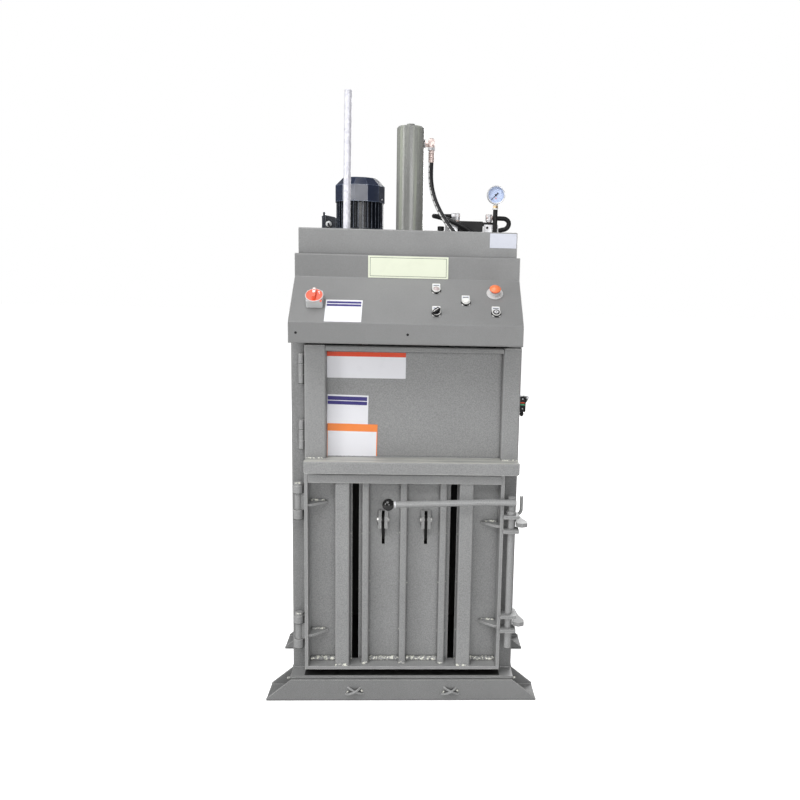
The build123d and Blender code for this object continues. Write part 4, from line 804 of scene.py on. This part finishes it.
# isolator: a pale rim as painted highlight round the turning disc, a pale cap on the disc, a keeper tag and
# cover screws on the base
def addIsolator():
    x, down = devices["isolator"]["place"]
    top, baseTop = devices["isolator"]["top"], devices["isolator"]["baseTop"]
    rim = bmesh.new()
    # pale ring round the disc's edge: painted highlight
    turned(rim, onSlope(x, down, top - 5), [
        (31.6, 0.4), (32.1, 1.2), (32.1, 4.2), (31.4, 5.3),
        (29.6, 5.6), (29.2, 4.9), (31.4, 4.9), (31.6, 0.4),
    ], 64)
    addPiece("isolatorRimHighlight", rim, ["palePlastic"], "isolator_handle")

    cap = bmesh.new()
    plate(cap, onSlope(x, down - 8.5, top + 14.9), 10, 24, 1.1, 4.5)
    turned(cap, onSlope(x, down - 10, top + 15.9), [(0, 0), (0, 0.6), (2.6, 0.5), (3.2, 0), (0, 0)], 24, 1)
    turned(cap, onSlope(x + 15, down - 17, top), [(0, 0), (0, 0.5), (3.0, 0.4), (3.4, 0), (0, 0)], 24)
    plate(cap, onSlope(x + 17, down - 9, top) @ Matrix.Rotation(0.5, 4, "Z"), 2, 8, 0.3, 0.6)
    addPiece("isolatorCap", cap, ["whitePlastic", "redPlastic"], "isolator_handle")

    base = bmesh.new()
    plate(base, onSlope(x + 24.5, down + 24, baseTop), 6.5, 9, 3.2, 1.5, 1)
    for side, reach in ((-1, 24.01), (1, 13.475)):
        for end in (-1, 1):
            screwHead(base, onSlope(x + 24.5 * side, down + reach * end, baseTop + 0.2), 2.4, 1.2)
    addPiece("isolatorScrews", base, ["steelPale", "redPlastic"], "frame")


addIsolator()
print("control panel dressed")


# gauge: dial with ticks, bezel ring, and a two-part nipple
gauge = {
    "x": 333, "back": 170, "level": 1960, "radius": 34, "dialBack": 165,
    "ticks": 26, "start": 225, "sweep": 270,
}
tick = {"edge": 28.2, "long": (5.5, 1.1), "short": (3.4, 0.6), "each": 5}


def addGauge():
    x, level, dialBack = gauge["x"], gauge["level"], gauge["dialBack"]
    dial = bmesh.new()
    face = onFront(x, dialBack, level, 0.1)
    turned(dial, face, [(2.6, 0), (2.6, 0.35), (29.4, 0.35), (29.4, 0), (2.6, 0)], 48)
    for number in range(gauge["ticks"] + 1):
        angle = math.radians(gauge["start"] - gauge["sweep"] * number / gauge["ticks"])
        reach, breadth = tick["short"] if number % tick["each"] else tick["long"]
        inward = Matrix.Translation(((tick["edge"] - reach / 2) * mm, 0, 0.35 * mm))
        plate(dial, face @ Matrix.Rotation(angle, 4, "Z") @ inward, reach, breadth, 0.08, 0, 1)
    below = face @ Matrix.Translation((0, -13 * mm, 0.35 * mm))
    turned(dial, below, [(0, 0), (0, 0.15), (2.4, 0.15), (2.4, 0), (0, 0)], 20, 2)
    addPiece("gaugeDial", dial, ["dialPrint", "needlePaint", "filmRed"], "frame")

    bezel = bmesh.new()
    turned(bezel, onFront(x, gauge["back"] - 14, level), [
        (34.2, -6), (35.0, -5.4), (35.0, -1.2), (34.2, 0.7),
        (32.6, 1.0), (31.4, 0.4), (31.4, -1.5), (34.2, -6),
    ], 64)
    addPiece("gaugeBezel", bezel, ["steelPale"], "frame")

    nipple = bmesh.new()
    base = level - gauge["radius"] - 16
    turned(nipple, upright(x, gauge["back"], base - 6), [
        (9.2, 0), (11.4, 0.6), (11.4, 5.6), (10.6, 6.2), (9.2, 6.2), (9.2, 0),
    ], 32, 1)
    hexHead(nipple, upright(x, gauge["back"], base + 1), 18, 9)
    turned(nipple, upright(x, gauge["back"], base + 9.5), [
        (8.1, 0), (8.9, 0.4), (8.9, 4.6), (7, 6.4), (6.2, 6.4), (6.2, 0), (8.1, 0),
    ], 28, 1)
    addPiece("gaugeNipple", nipple, ["brass", "whitePlastic"], "frame")

    hub = bmesh.new()
    turned(hub, onFront(x, dialBack - 3.1, level), [
        (0, 0), (0, 1.6), (2.6, 1.5), (3.6, 0.8), (3.6, 0), (0, 0),
    ], 24)
    addPiece("needleHub", hub, ["needlePaint"], "gauge_needle")


addGauge()


# fittings of the hoses, on the cylinder's port, the valves and the deck
fittings = {
    "elbow": {"x": 81, "back": 240, "half": 12, "level": 2160, "nut": 2130, "flange": 2141, "port": (54, 2155)},
    "sleeve": {"bottom": 2084, "top": 2130, "rings": 5, "margin": 4},
    "endCaps": [((172, 344, 1890), (1, 0, 0.02)), ((256, 172, 1807), (0.78, -0.12, -0.6))],
    "elbowCap": (192, 344, 1874),
    "valveCap": (314, 226, 1861),
    "plates": [((292, 348), (184, 208), (1796, 1848)), ((140, 190), (204.5, 212.5), (1796, 1850))],
    "plateScrews": {"xs": (304, 336), "back": 184, "level": 1836},
    "collars": [(178, 103, 13.5), (192, 344, 12.5), (350, 222, 12.5), (333, 170, 12.5), (258, 171, 13.5)],
}


def addPortFitting():
    work = bmesh.new()
    elbow, sleeve = fittings["elbow"], fittings["sleeve"]
    x, back, half = elbow["x"], elbow["back"], elbow["half"]
    pitch = (sleeve["top"] - sleeve["bottom"] - 2 * sleeve["margin"]) / sleeve["rings"]
    for ring in range(sleeve["rings"]):
        low = sleeve["bottom"] + sleeve["margin"] + ring * pitch
        turned(work, upright(x, back, low), [
            (10.2, 0), (11.4, 0.8), (11.4, pitch - 3.2), (10.2, pitch - 2.4), (10.2, 0),
        ], 28)
    hexHead(work, upright(x, back, elbow["nut"]), 27, 11, 1)
    turned(work, upright(x, back, elbow["flange"]), [(8, 0), (12.4, 0.4), (12.4, 3), (8, 3.6), (8, 0)], 28, 1)
    level = elbow["level"]
    slab(work, (x - half, x + half), (back - half, back + half), (level - half, level + half), 2.5)
    turned(work, upright(x, back, level + half), [(0, 0), (8.5, 0), (8.5, 3), (7.5, 4), (0, 4), (0, 0)], 24)
    portX, portLevel = elbow["port"]
    turned(work, pointing(spot(portX, back, portLevel), Vector((1, 0, 0))), [
        (9, 0), (16.5, 0.3), (16.5, 2), (15.5, 3), (9, 3), (9, 0),
    ], 32, 1)
    addPiece("portFitting", work, ["pinkPlate", "steelPale"], "frame")


def addFittings():
    caps = bmesh.new()
    for start, direction in fittings["endCaps"]:
        turned(caps, pointing(spot(*start), Vector(direction)), [
            (9.4, -3), (12.6, -2.4), (12.6, 11), (11.6, 12), (13.6, 12.6),
            (13.6, 27), (12.4, 28.4), (9, 29.4), (9.4, -3),
        ], 32)
    turned(caps, upright(*fittings["elbowCap"]), [
        (9.8, 0), (13.4, 0.8), (13.4, 26), (12.4, 27.4), (6, 28.4), (0, 28.4), (0, 0), (9.8, 0),
    ], 32)
    turned(caps, upright(*fittings["valveCap"]), [
        (7.8, 0), (12, 0.6), (12, 5), (14.4, 6), (14.4, 26), (13.2, 27.6), (0, 27.6), (0, 0), (7.8, 0),
    ], 32)
    addPiece("hoseCaps", caps, ["steelPale"], "frame")

    blocks = bmesh.new()
    for xs, backs, levels in fittings["plates"]:
        slab(blocks, xs, backs, levels, 1.5)
    plateScrews = fittings["plateScrews"]
    for x in plateScrews["xs"]:
        screwHead(blocks, onFront(x, plateScrews["back"], plateScrews["level"]), 4.5, 4, 1)
    addPiece("valvePlates", blocks, ["steelPale", "steelDark"], "frame")

    collars = bmesh.new()
    for x, back, radius in fittings["collars"]:
        bore = radius - 3
        turned(collars, upright(x, back, motor["deck"]), [
            (bore, 0), (radius + 5, 0), (radius + 5, 3), (radius + 3, 5), (radius, 6.5), (bore, 6.5), (bore, 0),
        ], 32)
    addPiece("deckCollars", collars, ["blackPlastic"], "frame")


addPortFitting()
addFittings()


# motor: cowl screws, flange bolts, terminal box lid screws and its cable gland
def addMotorTrim():
    x, back, deck = motor["x"], motor["back"], motor["deck"]
    screws = bmesh.new()
    for side in range(4):
        angle = math.radians(motor["turn"] + 15 + 30 * (3 * side + 8))
        outward = Vector((math.cos(angle), math.sin(angle), 0))
        place = spot(x, back, motor["cowlBottom"] + 12) + outward * motor["cowlRadius"] * mm
        screwHead(screws, pointing(place, outward), 4.2, 2.6)
    addPiece("cowlScrews", screws, ["steelPale"], "frame")

    bolts = bmesh.new()
    for corner in range(4):
        angle = math.radians(45 + 90 * corner)
        reach = motor["boltCircle"]
        place = upright(x + reach * math.cos(angle), back + reach * math.sin(angle), deck + motor["flange"])
        turned(bolts, place, [(0, 0), (8, 0), (8, 1.6), (0, 1.6), (0, 0)], 24, 1)
        hexHead(bolts, place @ Matrix.Translation((0, 0, 1.6 * mm)), 11, 6.5)
    addPiece("motorBolts", bolts, ["steelDark", "steelPale"], "frame")

    lid = bmesh.new()
    outward = Vector((-1, 0, 0))
    for side in (-1, 1):
        for level in (deck + 33, deck + 73):
            screwHead(lid, pointing(spot(boxLeft + 4, back + 26 * side, level), outward), 3, 2)
    turned(lid, pointing(spot(boxLeft + 32, back - 42, deck + 44), Vector((0, -1, 0))), [
        (4.2, 0), (11.5, 0), (11.5, 2), (8.5, 3), (8, 8), (5, 9.5), (4.2, 9.5), (4.2, 0),
    ], 28, 1)
    addPiece("boxTrim", lid, ["steelPale", "palePlastic"], "frame")


addMotorTrim()
print("motor, gauge and fittings dressed")


# a countersunk screw, a hair above its sheet
def sunkScrew(work, placed, radius=6.5):
    turned(work, placed, [
        (0, 0.02), (radius * 0.42, 0.02), (radius * 0.46, 0.05), (radius * 0.93, 0.06),
        (radius, 0.03), (radius, -0.3), (0, -0.3),
    ], 24)


# screws on the console's apron and on the head's rear and side sheets
screws = {
    "apron": {"xs": (-383, 4), "back": -207, "level": 1437, "radius": 4.6},
    "rear": {"xs": (-372, -190, 0, 190, 372), "back": 480, "levels": (1432, 1782)},
    "side": {"x": 402, "backs": (34, 240, 446), "level": 1432, "washer": 8, "across": 10},
}


def addScrews():
    apron, rear, side = screws["apron"], screws["rear"], screws["side"]
    black = bmesh.new()
    for x in apron["xs"]:
        sunkScrew(black, onFront(x, apron["back"], apron["level"]), apron["radius"])
    addPiece("apronScrews", black, ["blackPlastic"], "frame")

    plain = bmesh.new()
    for x in rear["xs"]:
        for level in rear["levels"]:
            sunkScrew(plain, pointing(spot(x, rear["back"], level), Vector((0, 1, 0))))
    for sign in (-1, 1):
        for back in side["backs"]:
            place = pointing(spot(side["x"] * sign, back, side["level"]), Vector((sign, 0, 0)))
            turned(plain, place, [(0, 0), (side["washer"], 0), (side["washer"], 1), (0, 1), (0, 0)], 24)
            hexHead(plain, place @ Matrix.Translation((0, 0, mm)), side["across"], 5)
    addPiece("headScrews", plain, ["steelPale"], "frame")


addScrews()


# limit switch: cover plate with its screws, coloured bits and a cable gland
switch = {
    "x": 446,
    "cover": {"half": 12, "backs": (20.6, 22), "levels": (1142, 1190), "screwInset": 5},
    "tabs": {"half": 8, "backs": (19.8, 20.7), "levels": ((1160, 1165), (1168, 1172))},
    "gland": (40, 1126),
}


def addSwitchTrim():
    work = bmesh.new()
    x, cover, tabs = switch["x"], switch["cover"], switch["tabs"]
    low, high = cover["levels"]
    slab(work, (x - cover["half"], x + cover["half"]), cover["backs"], cover["levels"], 0.5)
    for level in (low + cover["screwInset"], high - cover["screwInset"]):
        screwHead(work, onFront(x, cover["backs"][0], level), 2.6, 1.4, 1)
    for index, levels in enumerate(tabs["levels"], 2):
        slab(work, (x - tabs["half"], x + tabs["half"]), tabs["backs"], levels, 0.3, index)
    turned(work, pointing(spot(x, *switch["gland"]), Vector((0, 0, -1))), [
        (0, 0), (8.6, 0), (8.6, 5), (6, 7), (5, 12), (0, 12), (0, 0),
    ], 24)
    looks = ["blackPlastic", "steelPale", "greenPlastic", "filmRed"]
    addPiece("switchTrim", work, looks, "frame")


addSwitchTrim()


# latch: a ferrule on the lever behind the knob
latch = {"knob": (-59.5, -129.7, 804), "bend": (316.5, -91.7, 806), "ferruleStart": 20.5}


def addLatchTrim():
    work = bmesh.new()
    knob = spot(*latch["knob"])
    lever = spot(*latch["bend"]) - knob
    turned(work, pointing(knob + lever.normalized() * latch["ferruleStart"] * mm, lever), [
        (11.9, 0), (14.2, 0.6), (14.2, 5.5), (12.4, 8), (11.9, 8), (11.9, 0),
    ], 32)
    addPiece("knobFerrule", work, ["steelPale"], "latch")


addLatchTrim()
print("screws and small parts placed")


# dark rings on the hinge knuckles: a dark joint above each level, and painted shade at the bottom end of the
# lower knuckle below it
hinges = {
    "large": {"x": -404, "back": -35, "radius": 19, "levels": (788, 270), "joints": (31.6, -69)},
    "small": {"x": -390.6, "back": -25, "radius": 11, "levels": (1291, 1042), "joints": (20.6, -54)},
}


def addHingeJointsAndShade():
    work = bmesh.new()
    for facts in hinges.values():
        inner, outer = facts["radius"] - 0.1, facts["radius"] + 0.1
        for level in facts["levels"]:
            for joint in facts["joints"]:
                turned(work, upright(facts["x"], facts["back"], level + joint), [
                    (inner, 0), (outer, 0.1), (outer, 1.6), (inner, 1.7), (inner, 0),
                ], 40)
    addPiece("hingeJointsAndShade", work, ["steelDark"], "frame")


addHingeJointsAndShade()


# welds: beads as (start, end, radius) in mm, by body, pale where the paint has spattered off
welds = {
    "doorSpatterWelds": {"body": "lower_door", "look": "weldSpatter", "runs": []},
    "doorWelds": {"body": "lower_door", "look": "weldPainted", "runs": []},
    "lipSpatterWelds": {"body": "upper_door", "look": "weldSpatter", "runs": []},
    "upperDoorWelds": {"body": "upper_door", "look": "weldPainted", "runs": []},
    "bodySpatterWelds": {"body": "frame", "look": "weldSpatter", "runs": []},
    "bodyWelds": {"body": "frame", "look": "weldPainted", "runs": []},
}

# the lower door's ribs as (left, right, reach), and the sill's open fields as (left, right)
lowerDoor = {
    "edge": 364,
    "ribs": [(-261.5, -207.5, 67), (-161, -135, 50), (-16, 10, 50), (135, 161, 50), (207.5, 261.5, 67)],
    "ribFoot": 141,
    "fields": [(-364, -261.5), (-135, -16), (10, 135), (261.5, 364)],
    "slotEnds": [(-207.5, -201.5), (201.5, 207.5)],
    "tacks": (262, 460, 657, 850),
    "gussets": ((-1, (781, 262)), (1, (704, 302))),
    "clevises": (740, 753, 683, 696, 342, 355, 285, 298),
    "ears": (-102.5, -64, 64, 102.5),
}
upperDoor = {
    "lip": 957,
    "lipEnds": ((-376, -310, 5.2), (366, 425, 4.6)),
    "stiles": (-300, 360.5),
    "topRail": 1368,
}
frameSeams = {
    "postEdges": (433, 380),
    "postSides": ((4, 56), (424, 476)),
    "postFaces": ((0, 99, 3.6), (475.8, 101, 3.6), (1, 1405, 2.8)),
    "channels": (330, 720, 1120),
    "channelHeight": 80,
    "channelBacks": (90, 220, 350),
    "guides": (158.5, 218.5),
    "cleats": (-183.5, 188.5),
    "knuckles": (302, 757, 230, 193),
    "hookPlates": (712, 314),
    "footStitches": (-390, -130, 130, 390),
    "footInner": (42, 351),
    "footOuter": (-72, 477),
}


# runs along one axis: up, across and inward
def rising(x, back, low, high, radius):
    return (x, back, low), (x, back, high), radius


def across(left, right, back, level, radius):
    return (left, back, level), (right, back, level), radius


def inward(x, front, rear, level, radius):
    return (x, front, level), (x, rear, level), radius


def listDoorWelds():
    pale = welds["doorSpatterWelds"]["runs"]
    plain = welds["doorWelds"]["runs"]
    foot, edge = lowerDoor["ribFoot"], lowerDoor["edge"]
    for left, right in lowerDoor["fields"]:
        pale.append(across(left, right, -15, foot + 3, 10))
    for left, right in lowerDoor["slotEnds"]:
        pale.append(across(left, right, -12, foot, 4))
    for left, right, reach in lowerDoor["ribs"]:
        pale.append(across(left, right, -reach, foot + 0.5, 5.5))
        for x in (left - 1, right + 1):
            plain.append(inward(x, -14, 4 - reach, foot, 3.6))
            for level in lowerDoor["tacks"]:
                tack = level + chance.uniform(-4, 4)
                plain.append(rising(x, -10.5, tack - 8, tack + 8, 2.6))
                pale.append(rising(x, -11, tack - 1.5, tack + 2.5, 2.9))
    for side, levels in lowerDoor["gussets"]:
        for level in levels:
            for lift in (-4.5, 4.5):
                plain.append(inward(edge * side, -64, -12, level + lift, 2))
            pale.append(((358 * side, -14, level + 5), (306 * side, -12, level + 5), 5))
        plain.append(rising(edge * side, -74, 870, 899, 2.4))
        plain.append(rising((edge - 0.5) * side, -11, 150, 890, 2.4))
    for level in lowerDoor["clevises"]:
        plain.append(inward(377, -72, -44, level, 2.8))
    for x in lowerDoor["ears"]:
        plain.append(rising(x, -10.5, 692, 746, 2.4))


def listUpperWelds():
    pale = welds["lipSpatterWelds"]["runs"]
    plain = welds["upperDoorWelds"]["runs"]
    plain.append(across(-296, 344, -7, upperDoor["lip"], 2.6))
    for left, right, radius in upperDoor["lipEnds"]:
        pale.append(across(left, right, -42, upperDoor["lip"] + 0.5, radius))
    for x in upperDoor["stiles"]:
        plain.append(inward(x, -44, -10, upperDoor["topRail"], 2.2))
    for level in hinges["small"]["levels"]:
        plain.append(rising(-380, -27, level - 18, level + 18, 2.4))


def listSideWelds(side, pale, plain):
    for x in frameSeams["postEdges"]:
        for front, rear in frameSeams["postSides"]:
            plain.append(inward(x * side, front, rear, 99, 3.6))
    for back, level, radius in frameSeams["postFaces"]:
        plain.append(across(430 * side, 383 * side, back, level, radius))
    for low in frameSeams["channels"]:
        for level in (low, low + frameSeams["channelHeight"]):
            for back in frameSeams["channelBacks"]:
                plain.append(inward(388.5 * side, back, back + 34, level, 2.6))
    for x in frameSeams["guides"]:
        for level in range(160, 1380, 240):
            plain.append(rising(x * side, 461, level, level + 40, 2.4))
    for x in frameSeams["cleats"]:
        pale.append(((x + side * 31, -88, 40 + side * 3), (x + side * 24, -88, 46 + side * 3), 3.4))
    pale.append(across(446 * side, 434 * side, -66, 88, 4.5))


def listBodyWelds():
    pale = welds["bodySpatterWelds"]["runs"]
    plain = welds["bodyWelds"]["runs"]
    for side in (-1, 1):
        listSideWelds(side, pale, plain)
    for level in frameSeams["knuckles"]:
        plain.append(rising(-390, -1, level - 6, level + 6, 2.6))
    for level in hinges["large"]["levels"]:
        rim = [
            (-415, -44.5, level + 73), (-409, -48.5, level + 74),
            (-401, -49, level + 73.5), (-393, -45.5, level + 72),
        ]
        for start, end in zip(rim, rim[1:]):
            pale.append((start, end, 3.2))
        pale.append(((-420, -43.5, level - 33), (-411, -51, level - 34), 1.5))
        pale.append(((-411, -51, level - 34), (-399, -51.8, level - 34), 1.5))
    for level in frameSeams["hookPlates"]:
        for lift in (-9, 9):
            plain.append(inward(434, 2, 52, level + lift, 2.6))
    for x in frameSeams["footStitches"]:
        for back in frameSeams["footInner"]:
            plain.append(across(x - 22, x + 22, back + 0.5, 89.5, 3))
    for back in frameSeams["footOuter"]:
        plain.append(across(-430, 430, back, 90.5, 2.4))


def addWelds():
    for name, facts in welds.items():
        work = bmesh.new()
        for start, end, radius in facts["runs"]:
            weldRun(work, spot(*start), spot(*end), radius)
        addPiece(name, work, [facts["look"]], facts["body"])


listDoorWelds()
listUpperWelds()
listBodyWelds()
addWelds()
print("welds run")


# coil springs on the claws' bolts
springs = {
    "x": 99.6, "back": -34, "level": 718,
    "wire": 1.1, "coil": 7.6, "pitch": 2.6, "turns": 2, "steps": 20,
}


def addSprings():
    work = bmesh.new()
    for side in (-1, 1):
        before = set(work.verts)
        onCoil = Matrix.Translation((0, springs["coil"] * mm, 0)) @ Matrix.Rotation(math.pi / 2, 4, "Y")
        ring = bmesh.ops.create_circle(
            work, cap_ends=False, segments=8, radius=springs["wire"] * mm, matrix=onCoil,
        )
        edges = list({edge for vert in ring["verts"] for edge in vert.link_edges})
        bmesh.ops.spin(
            work, geom=ring["verts"] + edges, cent=(0, 0, 0), axis=(1, 0, 0),
            dvec=(springs["pitch"] / springs["steps"] * mm * side, 0, 0),
            angle=math.tau * springs["turns"], steps=springs["steps"] * springs["turns"], use_merge=False,
        )
        middle = spot(springs["x"] * side, springs["back"], springs["level"])
        settle(work, before, Matrix.Translation(middle), 0)
    addPiece("clawSprings", work, ["steelPale"], "lower_door")


addSprings()


# pale floor, white surround and soft lamps, in metres and watts
studio = {
    "floorSize": 40,
    "floorColour": (0.8, 0.8, 0.8, 1),
    "floorLift": 0.85,
    "ambient": 0.26,
    "lamps": {
        "overheadSoft": {"place": (-1.95, -4.2, 7.8), "aim": (0, 0, 1.2), "size": (6, 6), "power": 430},
        "frontSoft": {"place": (1.4, -7.0, 2.4), "aim": (0, 0, 1.2), "size": (3.6, 1.8), "power": 118},
        "leftSoft": {"place": (-4.6, -2.7, 2.4), "aim": (0, 0.1, 1.5), "size": (1.4, 2.6), "power": 82},
        "rearSoft": {"place": (2.4, 6.8, 3.6), "aim": (0, 0, 1.2), "size": (4, 3), "power": 240},
        "topSoft": {"place": (-0.3, -0.3, 5.6), "aim": (0, 0, 1.5), "size": (1.4, 1.2), "power": 14},
    },
}


def addFloor():
    mesh = bpy.data.meshes.new("studioFloor")
    work = bmesh.new()
    bmesh.ops.create_grid(work, x_segments=1, y_segments=1, size=studio["floorSize"])
    work.to_mesh(mesh)
    work.free()
    floor = bpy.data.objects.new("studioFloor", mesh)
    bpy.context.scene.collection.objects.link(floor)
    material = bpy.data.materials.new("studioFloor")
    material.use_nodes = True
    tree = material.node_tree
    shader = tree.nodes["Principled BSDF"]
    shader.inputs["Base Color"].default_value = studio["floorColour"]
    shader.inputs["Roughness"].default_value = 0.9
    shader.inputs["Specular IOR Level"].default_value = 0.0
    path = tree.nodes.new("ShaderNodeLightPath")
    scaled = tree.nodes.new("ShaderNodeMath")
    scaled.operation = "MULTIPLY"
    scaled.inputs[1].default_value = studio["floorLift"]
    tree.links.new(path.outputs["Is Camera Ray"], scaled.inputs[0])
    lift = tree.nodes.new("ShaderNodeEmission")
    tree.links.new(scaled.outputs["Value"], lift.inputs["Strength"])
    both = tree.nodes.new("ShaderNodeAddShader")
    tree.links.new(shader.outputs["BSDF"], both.inputs[0])
    tree.links.new(lift.outputs["Emission"], both.inputs[1])
    tree.links.new(both.outputs["Shader"], tree.nodes["Material Output"].inputs["Surface"])
    mesh.materials.append(material)


def addWorld():
    world = bpy.data.worlds.new("studioWorld")
    bpy.context.scene.world = world
    world.use_nodes = True
    tree = world.node_tree
    background = tree.nodes["Background"]
    background.inputs["Color"].default_value = (1, 1, 1, 1)
    path = tree.nodes.new("ShaderNodeLightPath")
    seen = tree.nodes.new("ShaderNodeMath")
    seen.operation = "MULTIPLY_ADD"
    seen.inputs[1].default_value = 1 - studio["ambient"]
    seen.inputs[2].default_value = studio["ambient"]
    tree.links.new(path.outputs["Is Camera Ray"], seen.inputs[0])
    tree.links.new(seen.outputs["Value"], background.inputs["Strength"])


def addLamps():
    for name, facts in studio["lamps"].items():
        data = bpy.data.lights.new(name, "AREA")
        data.shape = "RECTANGLE"
        data.size, data.size_y = facts["size"]
        data.energy = facts["power"]
        lamp = bpy.data.objects.new(name, data)
        bpy.context.scene.collection.objects.link(lamp)
        lamp.location = facts["place"]
        aim = Vector(facts["aim"]) - Vector(facts["place"])
        lamp.rotation_euler = aim.to_track_quat("-Z", "Y").to_euler()


addFloor()
addWorld()
addLamps()
bpy.context.scene.view_settings.view_transform = "Standard"
print("studio lit")
